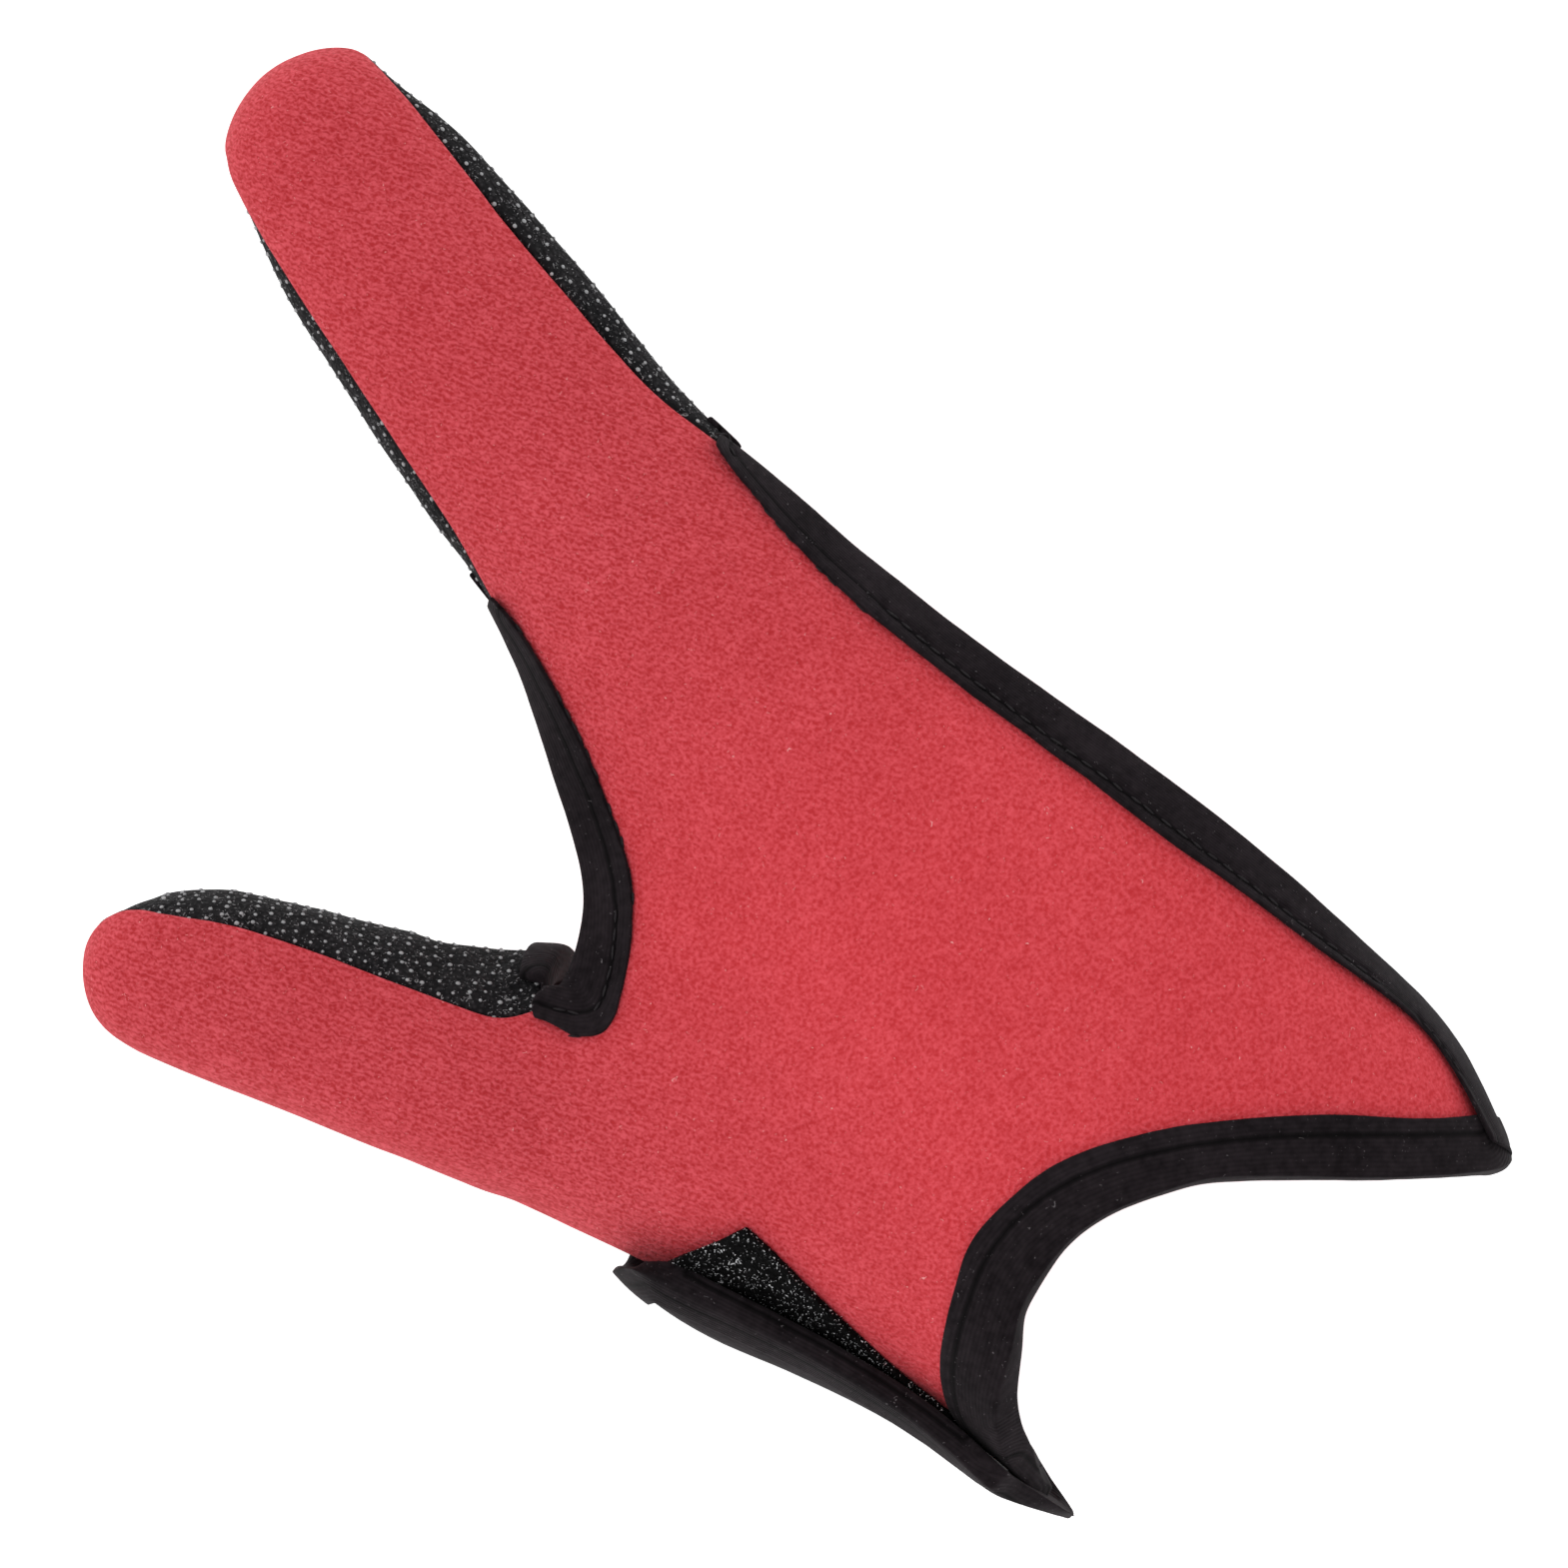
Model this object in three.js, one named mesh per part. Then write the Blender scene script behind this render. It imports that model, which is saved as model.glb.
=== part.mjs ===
import * as THREE from "three";

// A casting glove for the right hand, seen as it lies palm side down.
// Millimetres. The index finger points along +Y, the little finger's side is +X and
// the back of the hand faces +Z. The finger tubes and the strap's binding rest on Z = 0.

// Index finger tube
const index_length = 73;
const index_width = 34;
const index_depth = 21.5;
const index_place = 0.28; // share of the hand's width
// Thumb tube
const thumb_length = 59.5;
const thumb_width = 28;
const thumb_depth = 22;
const thumb_spread = 29.8; // degrees between the thumb and the index finger
const thumb_across = -0.412; // its root, share of the hand's width
const thumb_along = -0.372; // its root, share of the hand's length
// Back of the hand
const hand_length = 138;
const hand_width = 78;
const back_height = 44;
// Cloth
const foam_wall = 2.5;
const knit_wall = 1.2;
const strap_wall = 1.6;
const tape_wall = 0.7;
const loop_wall = 1.0;
const hook_wall = 0.8;
const piece_gap = 0.3;
const seam_drop = 0.4; // the knit lies this much under the foam's face
// Widths of the folded tapes
const web_tape = 6.4;
const outer_tape = 6.6;
const wrist_tape = 7.4;
const strap_tape = 5;
const tape_start_share = 0.45; // of a tape's width where it leaves a finger's seam
const tape_growth_rows = 2.2; // sections until it has its whole width
const turn_extra = 0.12; // the web's tape is wider by this share where it turns
const thumb_tape_share = 0.25; // of the web's tape beside the thumb's seam
const corner_taper = 0.2; // the wrist's tape is narrower by this share at the outer corner
const strap_taper = 0.2; // and by this share beside the strap

const degree = Math.PI / 180;
const up = new THREE.Vector3(0, 0, 1);
const sharesOf = (columns, rows) =>
  rows.map((row) => Object.fromEntries(columns.map((name, i) => [name, row[i]])));

// Index tube from its tip to its root. Heights and rises are shares of its depth,
// sideways places and bows are shares of its width, wraps are degrees.
const index_rows = sharesOf(
  ["along", "left", "right", "left_z", "right_z", "rise", "wrap", "bow", "drop", "under", "under_bow"],
  [
    [0.925, -0.324, 0.347, 0.395, 0.442, -0.093, 90, 0.165, 0.093, 90, 0.165],
    [0.897, -0.353, 0.359, 0.442, 0.512, 0.116, 88, 0.194, 0.279, 95, 0.159],
    [0.856, -0.376, 0.368, 0.493, 0.577, 0.288, 82, 0.182, 0.456, 103, 0.135],
    [0.801, -0.391, 0.376, 0.549, 0.642, 0.344, 75, 0.124, 0.586, 110, 0.094],
    [0.726, -0.409, 0.382, 0.605, 0.698, 0.316, 68, 0.059, 0.69, 118, 0.044],
    [0.616, -0.429, 0.385, 0.651, 0.744, 0.284, 62, 0.018, 0.75, 121, 0.012],
    [0.479, -0.447, 0.394, 0.674, 0.767, 0.279, 60, 0, 0.785, 122, 0],
    [0.315, -0.474, 0.415, 0.688, 0.781, 0.298, 60, 0, 0.79, 122, 0],
    [0.164, -0.491, 0.435, 0.716, 0.819, 0.335, 60, 0, 0.76, 120, 0],
    [0.027, -0.53, 0.49, 0.7, 0.86, 0.437, 60, 0, 0.71, 108, 0],
  ],
);

// Thumb tube from its tip to its root: the web side first, then the far side.
const thumb_rows = sharesOf(
  ["web_along", "web", "web_z", "far_along", "far", "far_z", "rise", "wrap", "bow", "drop", "under", "under_bow"],
  [
    [0.874, 0.089, 0.773, 0.84, -0.493, 0.273, -0.136, 90, 0.268, 0.136, 90, 0.268],
    [0.84, 0.114, 0.818, 0.815, -0.5, 0.273, 0.114, 88, 0.293, 0.341, 94, 0.25],
    [0.79, 0.146, 0.85, 0.773, -0.504, 0.264, 0.286, 84, 0.232, 0.545, 98, 0.186],
    [0.731, 0.179, 0.873, 0.714, -0.508, 0.255, 0.364, 80, 0.15, 0.682, 101, 0.107],
    [0.639, 0.214, 0.905, 0.613, -0.507, 0.25, 0.4, 76, 0.064, 0.773, 104, 0.043],
    [0.487, 0.236, 0.927, 0.471, -0.496, 0.25, 0.418, 74, 0, 0.841, 106, 0],
    [0.336, 0.243, 0.945, 0.311, -0.491, 0.264, 0.432, 74, 0, 0.95, 107, 0],
    [0.193, 0.257, 0.955, 0.143, -0.487, 0.286, 0.45, 72, 0, 1, 111, -0.05],
    [0.076, 0.293, 0.955, -0.017, -0.495, 0.314, 0.46, 67, 0, 1.14, 108, -0.12],
  ],
);

// The edge between the two fingers, from the index finger's root towards the web.
// Shares of the hand's width, length and height.
const web_rows = sharesOf(
  ["across", "along", "height"],
  [
    [0.037, -0.036, 0.335],
    [0.013, -0.083, 0.34],
    [-0.02, -0.138, 0.36],
    [-0.064, -0.21, 0.39],
    [-0.117, -0.274, 0.423],
  ],
);

// The line over the back of the hand from the web's bottom to the wrist notch.
const ridge_rows = sharesOf(
  ["across", "along", "height"],
  [
    [-0.237, -0.333, 0.464],
    [-0.128, -0.449, 0.67],
    [-0.026, -0.572, 0.83],
    [0.071, -0.688, 0.932],
    [0.149, -0.788, 0.989],
  ],
);

// The long edge on the little finger's side, one row for each row of the two tables above,
// with the section between that edge and the web or ridge.
const outer_rows = sharesOf(
  ["across", "along", "height", "rise", "wrap", "skew", "bow"],
  [
    [0.535, -0.043, 0.44, 0.255, 62, 1, 0],
    [0.564, -0.13, 0.51, 0.27, 60, 1, 0],
    [0.602, -0.217, 0.585, 0.265, 56, 1.1, 0],
    [0.647, -0.312, 0.65, 0.261, 50, 1.2, 0],
    [0.703, -0.409, 0.695, 0.259, 48, 1.3, 0],
    [0.757, -0.507, 0.72, 0.255, 46, 1.35, 0],
    [0.813, -0.623, 0.67, 0.235, 56, 1.35, 0],
    [0.856, -0.743, 0.55, 0.265, 70, 1.3, 0.006],
    [0.887, -0.862, 0.42, 0.29, 80, 1.25, 0.026],
    [0.847, -0.994, 0.35, 0.22, 74, 1.2, 0.07],
  ],
);

// The edge on the thumb's side of the wrist, one row for each row of the ridge.
const radial_rows = sharesOf(
  ["across", "along", "height", "rise", "wrap", "bow"],
  [
    [-0.518, -0.465, 0.17, 0.215, 58, 0],
    [-0.436, -0.554, 0.216, 0.165, 50, 0],
    [-0.333, -0.662, 0.261, 0.168, 47, 0],
    [-0.192, -0.808, 0.295, 0.177, 46, 0.025],
    [-0.1, -0.976, 0.386, 0.193, 46, 0.09],
  ],
);
const notch_lean = 0.5; // moves the notch's top towards the thumb
const notch_point = 2.2;

const point = (x, y, z) => new THREE.Vector3(x, y, z);
const handPoint = (row) =>
  point(row.across * hand_width, row.along * hand_length, row.height * back_height);

const thumbRoot = point(thumb_across * hand_width, thumb_along * hand_length, 0);
const thumbAxis = point(-Math.sin(thumb_spread * degree), Math.cos(thumb_spread * degree), 0);
const thumbSide = point(thumbAxis.y, -thumbAxis.x, 0);
const thumbPoint = (along, side, height) =>
  thumbRoot
    .clone()
    .addScaledVector(thumbAxis, along * thumb_length)
    .addScaledVector(thumbSide, side * thumb_width)
    .addScaledVector(up, height * thumb_depth);

const indexPoint = (along, side, height) =>
  point(index_place * hand_width + side * index_width, along * index_length, height * index_depth);

// One section of cloth: from start to end over an arc, pushed forward by its bow.
const indexSection = (row) => ({
  start: indexPoint(row.along, row.left, row.left_z),
  end: indexPoint(row.along, row.right, row.right_z),
  rise: row.rise * index_depth,
  wrap: row.wrap,
  skew: 1,
  bow: row.bow * index_width,
  lean: 1,
  point: 0.5,
  drop: row.drop * index_depth,
  under: row.under,
  under_bow: row.under_bow * index_width,
});
const thumbSection = (row) => ({
  start: thumbPoint(row.web_along, row.web, row.web_z),
  end: thumbPoint(row.far_along, row.far, row.far_z),
  rise: row.rise * thumb_depth,
  wrap: row.wrap,
  skew: 1,
  bow: row.bow * thumb_width,
  lean: 1,
  point: 0.5,
  drop: row.drop * thumb_depth,
  under: row.under,
  under_bow: row.under_bow * thumb_width,
});
const outerSection = (row, i) => ({
  start: handPoint(i < web_rows.length ? web_rows[i] : ridge_rows[i - web_rows.length]),
  end: handPoint(row),
  rise: row.rise * back_height,
  wrap: row.wrap,
  skew: row.skew,
  bow: row.bow * hand_width,
  lean: notch_lean,
  point: notch_point,
  drop: index_rows.at(-1).drop * index_depth,
  under: index_rows.at(-1).under,
  under_bow: 0,
});
const radialSection = (row, i) => ({
  start: handPoint(ridge_rows[i]),
  end: handPoint(row),
  rise: row.rise * back_height,
  wrap: row.wrap,
  skew: 1,
  bow: row.bow * hand_width,
  lean: 1,
  point: 1,
  drop: thumb_rows.at(-1).drop * thumb_depth,
  under: thumb_rows.at(-1).under,
  under_bow: thumb_rows.at(-1).under_bow * thumb_width,
});
const handSections = [...index_rows.map(indexSection), ...outer_rows.map(outerSection)];
const thumbSections = [...thumb_rows.map(thumbSection), ...radial_rows.map(radialSection)];
const handBranch = index_rows.length + web_rows.length;
const thumbBranch = thumb_rows.length;
const handEnd = handSections.length - 1;
const thumbEnd = thumbSections.length - 1;

// Smooth values between the rows; at a corner row the curve may turn.
function smooth(list, u, corner) {
  const k = Math.max(0, Math.min(Math.floor(u), list.length - 2));
  const f = u - k;
  const p1 = list[k];
  const p2 = list[k + 1];
  const p0 = k > 0 && k !== corner ? list[k - 1] : 2 * p1 - p2;
  const p3 = k + 2 < list.length && k + 1 !== corner ? list[k + 2] : 2 * p2 - p1;
  const bend = (2 * p0 - 5 * p1 + 4 * p2 - p3) * f * f + (3 * p1 - p0 - 3 * p2 + p3) * f * f * f;
  return p1 + 0.5 * ((p2 - p0) * f + bend);
}
function smoothPoint(list, u, corner) {
  const part = (axis) => smooth(list.map((p) => p[axis]), u, corner);
  return point(part("x"), part("y"), part("z"));
}
function sectionAt(sections, u, corner) {
  const value = (name) => smooth(sections.map((s) => s[name]), u, -1);
  const section = {};
  for (const name of ["rise", "wrap", "skew", "bow", "lean", "point", "drop", "under", "under_bow"]) {
    section[name] = value(name);
  }
  section.start = smoothPoint(sections.map((s) => s.start), u, corner);
  section.end = smoothPoint(sections.map((s) => s.end), u, -1);
  return section;
}

// A point of a section, t running from 0 at its start to 1 at its end.
function arcPoint(section, t, side, over) {
  const wrap = (over ? section.wrap : section.under) * degree;
  const height = over ? section.rise : -section.drop;
  const bow = over ? section.bow : section.under_bow;
  const swing = wrap * (2 * t - 1);
  const lifted = wrap * (2 * Math.pow(t, section.skew) - 1);
  const share = (Math.sin(swing) / Math.sin(wrap) + 1) / 2;
  const crown = (Math.cos(lifted) - Math.cos(wrap)) / (1 - Math.cos(wrap));
  const chord = section.end.clone().sub(section.start);
  const along = chord.clone().normalize();
  const lift = up.clone().addScaledVector(along, -up.dot(along)).normalize();
  const ahead = point(-along.y * side, along.x * side, 0).normalize();
  const middle = Math.pow(Math.min(1, Math.max(0, share)), section.lean);
  const push = Math.pow(Math.max(0, Math.sin(Math.PI * middle)), section.point);
  return section.start
    .clone()
    .addScaledVector(chord, share)
    .addScaledVector(lift, height * crown)
    .addScaledVector(ahead, bow * push);
}
const handFace = (u, t) => arcPoint(sectionAt(handSections, u, handBranch), t, 1, true);
const thumbFace = (u, t) => arcPoint(sectionAt(thumbSections, u, thumbBranch), t, -1, true);

// Stations along one section, measured along the cloth: two tape steps beside the start,
// even steps, and two tape steps beside the end when the end has a tape.
const cloth_samples = 120;
const most_stretch = 1.8; // a tape's run along the cloth against its width
const most_share = 0.2; // of the section's length for half a tape, twice that for a whole one
function stationsOf(face, u, start, end, count) {
  const fine = cloth_samples;
  const places = [];
  const run = [];
  for (let i = 0; i <= fine; i += 1) {
    places.push(face(u, i / fine));
    run.push(i === 0 ? 0 : run[i - 1] + places[i].distanceTo(places[i - 1]));
  }
  const total = run[fine];
  const clear = (side, share) => {
    const order = side === start ? places : [...places].reverse();
    const k = side.line ? order.findIndex((p) => reach(p, side.line) >= side.width * share) : -1;
    const plain = side.width * share;
    const walked = k < 0 ? plain : side === start ? run[k] : total - run[fine - k];
    return Math.min(walked, plain * most_stretch, total * most_share * (1 + share));
  };
  const wanted = [0, clear(start, 0.5), clear(start, 1)];
  const far = end ? total - clear(end, 1) : total;
  const inner = count - (end ? 4 : 2);
  for (let i = 1; i < inner; i += 1) {
    wanted.push(wanted[2] + ((far - wanted[2]) * i) / inner);
  }
  wanted.push(far);
  if (end) {
    wanted.push(total - clear(end, 0.5), total);
  }
  return wanted.map((place) => {
    const k = Math.max(1, run.findIndex((walked) => walked >= place - 1e-9));
    const part = (place - run[k - 1]) / Math.max(1e-9, run[k] - run[k - 1]);
    return Math.min(1, (k - 1 + part) / fine);
  });
}

// The panel's mesh: rows of vertices from both strips, which share the ridge.
const hand_stations = [
  0, 0.5, 1, 1.5, 2, 2.5, 3, 3.6, 4.3, 5, 5.8, 6.6, 7.4, 8.1, 8.6, 9.08, 9.3, 9.8, 10.5, 11.2, 12, 12.8, 13.5, 14, 14.4,
  14.7,
];
const knit_end_row = 15;
const hand_tape_row = 16;
const thumb_stations = [0, 0.5, 1, 1.5, 2, 2.5, 3, 3.6, 4.3, 5, 5.8, 6.6, 7.3, 7.8, 8.15, 8.5, 8.78];
const thumb_knit_end_row = 15;
const thumb_tape_row = 16;
const ridge_steps = 11; // rows between the web's bottom and the notch
const hand_columns = 15;
const thumb_columns = 12;

// Fine lines along the notch, the web's edge and the outer edge, to measure the tapes from.
const notch_points = 60;
const edge_points = 150;
const thumb_edge_points = 100;
const notchLine = [];
for (let i = 0; i <= notch_points; i += 1) {
  notchLine.push(thumbFace(thumbEnd, 1 - i / notch_points));
}
for (let i = 1; i <= notch_points; i += 1) {
  notchLine.push(handFace(handEnd, i / notch_points));
}
const webLine = [];
const outerLine = [];
for (let i = 0; i <= edge_points; i += 1) {
  webLine.push(handFace((handBranch * i) / edge_points, 0));
  outerLine.push(handFace((handEnd * i) / edge_points, 1));
}
for (let i = 0; i < thumb_edge_points; i += 1) {
  webLine.push(thumbFace((thumbBranch * i) / thumb_edge_points, 0));
}

function reach(p, line) {
  return Math.min(...line.map((q) => q.distanceTo(p)));
}

// How far above a strip's last row a point lies that is one tape's width from the notch.
function backFrom(face, end, t, width) {
  const furthest = 1.6;
  const step = 0.02;
  let back = 0;
  while (back < furthest && reach(face(end - back, t), notchLine) < width) {
    back += step;
  }
  return back;
}
function ridgeRow(face, end, branch, i, t) {
  const width = wrist_tape * (face === handFace ? 1 - corner_taper * t * t * t : 1 - strap_taper * t);
  const wide = backFrom(face, end, t, width);
  const half = backFrom(face, end, t, width / 2);
  if (i === ridge_steps) {
    return end;
  }
  if (i === ridge_steps - 1) {
    return end - half;
  }
  return branch + ((end - wide - branch) * i) / (ridge_steps - 2);
}

const vertices = []; // outer face of the panel
const handGrid = [];
const thumbGrid = [];
const keep = (p) => vertices.push(p) - 1;
// The tapes start narrow beside the finger's seams and reach their width along the hand.
const within = (value) => Math.min(1, Math.max(0, value));
const tape_start_row = index_rows.length - 0.8;
const turn_start_row = handBranch - 2;
const turn_rows = 2;
const grown = (u) =>
  tape_start_share + (1 - tape_start_share) * within((u - tape_start_row) / tape_growth_rows);
for (const u of hand_stations) {
  const turning = 1 + turn_extra * within((u - turn_start_row) / turn_rows);
  const web = { width: web_tape * grown(u) * turning, line: webLine };
  const outer = { width: outer_tape * grown(u), line: outerLine };
  const places = stationsOf(handFace, u, web, outer, hand_columns);
  handGrid.push(places.map((t) => keep(handFace(u, t))));
}
for (const u of thumb_stations) {
  const near_turn = Math.max(0, u - thumbBranch + 1);
  const narrow = web_tape * (thumb_tape_share + (1 - thumb_tape_share) * near_turn * near_turn);
  const places = stationsOf(thumbFace, u, { width: narrow, line: webLine }, null, thumb_columns);
  thumbGrid.push(places.map((t) => keep(thumbFace(u, t))));
}
for (let i = 0; i <= ridge_steps; i += 1) {
  const guide = handBranch + ((handEnd - handBranch) * i) / ridge_steps;
  const thumbGuide = thumbBranch + ((thumbEnd - thumbBranch) * i) / ridge_steps;
  const web = { width: web_tape };
  const outer = { width: outer_tape, line: outerLine };
  const places = stationsOf(handFace, guide, web, outer, hand_columns);
  const row = places.map((t) => keep(handFace(ridgeRow(handFace, handEnd, handBranch, i, t), t)));
  const far = stationsOf(thumbFace, thumbGuide, web, null, thumb_columns);
  const side = far.map((t, j) =>
    j === 0 ? row[0] : keep(thumbFace(ridgeRow(thumbFace, thumbEnd, thumbBranch, i, t), t)),
  );
  handGrid.push(row);
  thumbGrid.push(side);
}
const handTurn = hand_stations.length; // grid row of the web's bottom
const thumbTurn = thumb_stations.length;

const quadsOf = (grid, flip, rows, columns) => {
  const quads = [];
  for (let i = rows[0]; i < rows[1]; i += 1) {
    for (let j = columns[0]; j < columns[1]; j += 1) {
      const quad = [grid[i][j], grid[i + 1][j], grid[i + 1][j + 1], grid[i][j + 1]];
      quads.push(flip ? quad.reverse() : quad);
    }
  }
  return quads;
};
const allRows = (grid) => [0, grid.length - 1];
const allColumns = (grid) => [0, grid[0].length - 1];
const panelQuads = [
  ...quadsOf(handGrid, false, allRows(handGrid), allColumns(handGrid)),
  ...quadsOf(thumbGrid, true, allRows(thumbGrid), allColumns(thumbGrid)),
];

// Even out the cloth where the two strips meet; edges stay where they are.
const edgesOf = (quads) => {
  const edges = new Map();
  for (const quad of quads) {
    quad.forEach((a, i) => {
      const b = quad[(i + 1) % quad.length];
      if (edges.has(b + ">" + a)) {
        edges.delete(b + ">" + a);
      } else {
        edges.set(a + ">" + b, [a, b]);
      }
    });
  }
  return [...edges.values()];
};
function evenOut(quads, strength, rounds) {
  const near = new Map();
  for (const quad of quads) {
    quad.forEach((a, i) => {
      const b = quad[(i + 1) % quad.length];
      near.set(a, (near.get(a) ?? new Set()).add(b));
      near.set(b, (near.get(b) ?? new Set()).add(a));
    });
  }
  for (let round = 0; round < rounds; round += 1) {
    const moved = [...strength].map(([id, share]) => {
      const middle = point(0, 0, 0);
      near.get(id).forEach((other) => middle.add(vertices[other]));
      middle.divideScalar(near.get(id).size);
      return [id, vertices[id].clone().lerp(middle, 0.5 * share)];
    });
    moved.forEach(([id, place]) => vertices[id].copy(place));
  }
}
const rim = new Set(edgesOf(panelQuads).flat());
const strength = new Map();
const tape_columns = 3; // columns beside the web that hold the tape's shape
const hand_rows_eased = 4; // rows before the web's bottom over which the easing fades
const thumb_rows_eased = 7;
const hand_fade_end = 11; // column where it has faded out
const hand_fade_columns = 5;
const thumb_fade_columns = 3;
const easing_rounds = 14;
for (let i = handTurn - hand_rows_eased + 1; i < handGrid.length; i += 1) {
  for (let j = i > handTurn ? 0 : tape_columns; j < hand_columns; j += 1) {
    const near = within((i - handTurn + hand_rows_eased) / hand_rows_eased);
    strength.set(handGrid[i][j], near * within((hand_fade_end - j) / hand_fade_columns));
  }
}
for (let i = thumbTurn - thumb_rows_eased + 1; i < thumbGrid.length; i += 1) {
  for (let j = i > thumbTurn ? 0 : tape_columns; j < thumb_columns; j += 1) {
    const near = within((i - thumbTurn + thumb_rows_eased) / thumb_rows_eased);
    const share = near * within((thumb_columns - j) / thumb_fade_columns);
    strength.set(thumbGrid[i][j], Math.max(share, strength.get(thumbGrid[i][j]) ?? 0));
  }
}
rim.forEach((id) => strength.delete(id));
evenOut(panelQuads, strength, easing_rounds);

// The notch's edge runs on smoothly where the two strips meet.
const notchEdge = [...thumbGrid.at(-1).slice(1).reverse(), ...handGrid.at(-1)];
const notch_rounds = 4;
const notch_columns = 5; // columns eased on each side
for (let round = 0; round < notch_rounds; round += 1) {
  for (let i = thumb_columns - notch_columns; i < thumb_columns + notch_columns; i += 1) {
    const middle = vertices[notchEdge[i - 1]].clone().add(vertices[notchEdge[i + 1]]).multiplyScalar(0.5);
    vertices[notchEdge[i]].lerp(middle, 0.5);
  }
}

// The tape's inner edge turns round the web's bottom at its own width.
const webBottom = vertices[handGrid[handTurn][0]];
const turn_width = web_tape * (1 + turn_extra);
const away = (id) => vertices[id].clone().sub(webBottom).normalize();
const towards = [handGrid[handTurn][2], handGrid[handTurn + 1][0], thumbGrid[thumbTurn][2]].map(away);
// Mesh places round the turn, and how far round it each lies in quarters of the way.
const turned = [
  [handGrid[handTurn][2], 0],
  [handGrid[handTurn + 1][2], 0.33],
  [handGrid[handTurn + 1][1], 0.67],
  [handGrid[handTurn + 1][0], 1],
  [thumbGrid[thumbTurn + 1][1], 1.33],
  [thumbGrid[thumbTurn + 1][2], 1.67],
];
for (const [id, share] of turned) {
  const k = Math.min(1, Math.floor(share));
  const direction = towards[k].clone().lerp(towards[k + 1], share - k).normalize();
  vertices[id].copy(webBottom).addScaledVector(direction, turn_width);
}
vertices[handGrid[handTurn][1]].copy(webBottom).lerp(vertices[handGrid[handTurn][2]], 0.5);

function normalsOf(points, quads) {
  const normals = new Map();
  for (const quad of quads) {
    const [a, b, c, d] = quad.map((id) => points.get(id));
    const turn = c.clone().sub(a).cross(d.clone().sub(b));
    for (const id of quad) {
      normals.set(id, (normals.get(id) ?? point(0, 0, 0)).add(turn));
    }
  }
  normals.forEach((normal) => normal.normalize());
  return normals;
}
const face = new Map(vertices.map((p, id) => [id, p]));
const normal = normalsOf(face, panelQuads);

// Outward direction at the rim, square to the rim and to the cloth.
const outward = new Map();
function findOutward(quads) {
  const before = new Map();
  const after = new Map();
  for (const [a, b] of edgesOf(quads)) {
    after.set(a, b);
    before.set(b, a);
  }
  for (const id of after.keys()) {
    const run = vertices[after.get(id)].clone().sub(vertices[before.get(id)]);
    outward.set(id, run.cross(normal.get(id)).normalize());
  }
}
findOutward(panelQuads);
const offset = (id, off, out = 0) => {
  const p = vertices[id].clone().addScaledVector(normal.get(id), off);
  return out ? p.addScaledVector(outward.get(id), out) : p;
};

// A closed solid between an outer and an inner skin of the same cloth.
function solidOf(quads, outer, inner) {
  const places = [];
  const put = (p, q, r) => places.push(p.x, p.y, p.z, q.x, q.y, q.z, r.x, r.y, r.z);
  for (const quad of quads) {
    const [a, b, c, d] = quad.map((id) => outer.get(id));
    put(a, b, c);
    put(a, c, d);
    const [e, f, g, h] = quad.map((id) => inner.get(id));
    put(e, g, f);
    put(e, h, g);
  }
  for (const [a, b] of edgesOf(quads)) {
    const [p, q, r, s] = [outer.get(b), outer.get(a), inner.get(a), inner.get(b)];
    put(p, q, r);
    put(p, r, s);
  }
  const geometry = new THREE.BufferGeometry();
  geometry.setAttribute("position", new THREE.BufferAttribute(new Float32Array(places), 3));
  geometry.computeVertexNormals();
  return geometry;
}

// A tape folded over an edge of cloth: a flange on each face and a rim between them.
const fold_corner = 0.72; // how far out the rim's slanting corners stand
function foldedTape(quads, chain, wall, at) {
  const outer = new Map();
  const inner = new Map();
  const faces = [];
  const far = piece_gap + tape_wall;
  const ids = new Set(quads.flat());
  for (const id of ids) {
    outer.set("t" + id, at(id, far, 0));
    inner.set("t" + id, at(id, piece_gap, 0));
    outer.set("b" + id, at(id, -wall - far, 0));
    inner.set("b" + id, at(id, -wall - piece_gap, 0));
  }
  for (const quad of quads) {
    faces.push(quad.map((id) => "t" + id));
    const [a, b, c, d] = quad.map((id) => "b" + id);
    faces.push([a, d, c, b]);
  }
  for (const id of chain) {
    for (const [skin, d] of [[outer, far], [inner, piece_gap]]) {
      skin.set("r1" + id, at(id, d * fold_corner, d * fold_corner));
      skin.set("r2" + id, at(id, -wall / 2, d));
      skin.set("r3" + id, at(id, -wall - d * fold_corner, d * fold_corner));
    }
  }
  const used = new Set(quads.flatMap((quad) => quad.map((a, i) => a + ">" + quad[(i + 1) % quad.length])));
  const layers = ["t", "r1", "r2", "r3", "b"];
  for (let i = 0; i + 1 < chain.length; i += 1) {
    const forward = used.has(chain[i] + ">" + chain[i + 1]);
    const a = forward ? chain[i + 1] : chain[i];
    const b = forward ? chain[i] : chain[i + 1];
    for (let k = 0; k + 1 < layers.length; k += 1) {
      faces.push([layers[k] + a, layers[k] + b, layers[k + 1] + b, layers[k + 1] + a]);
    }
  }
  return solidOf(faces, outer, inner);
}

const glove = new THREE.Group();
glove.name = "fishing_glove";
function addPiece(name, geometry, colour, roughness) {
  const material = new THREE.MeshStandardMaterial({ color: colour, roughness, metalness: 0 });
  material.name = name;
  const mesh = new THREE.Mesh(geometry, material);
  mesh.name = name;
  glove.add(mesh);
}
const red = "#c9444b";
const knitBlack = "#23262a";
const tapeBlack = "#2d272b";
const loopBlack = "#1c1b1d";
const strapBlack = "#242225";
const foam_roughness = 0.95;
const knit_roughness = 0.9;
const tape_roughness = 0.8;
const strap_roughness = 0.85;
const pile_roughness = 1;

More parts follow.
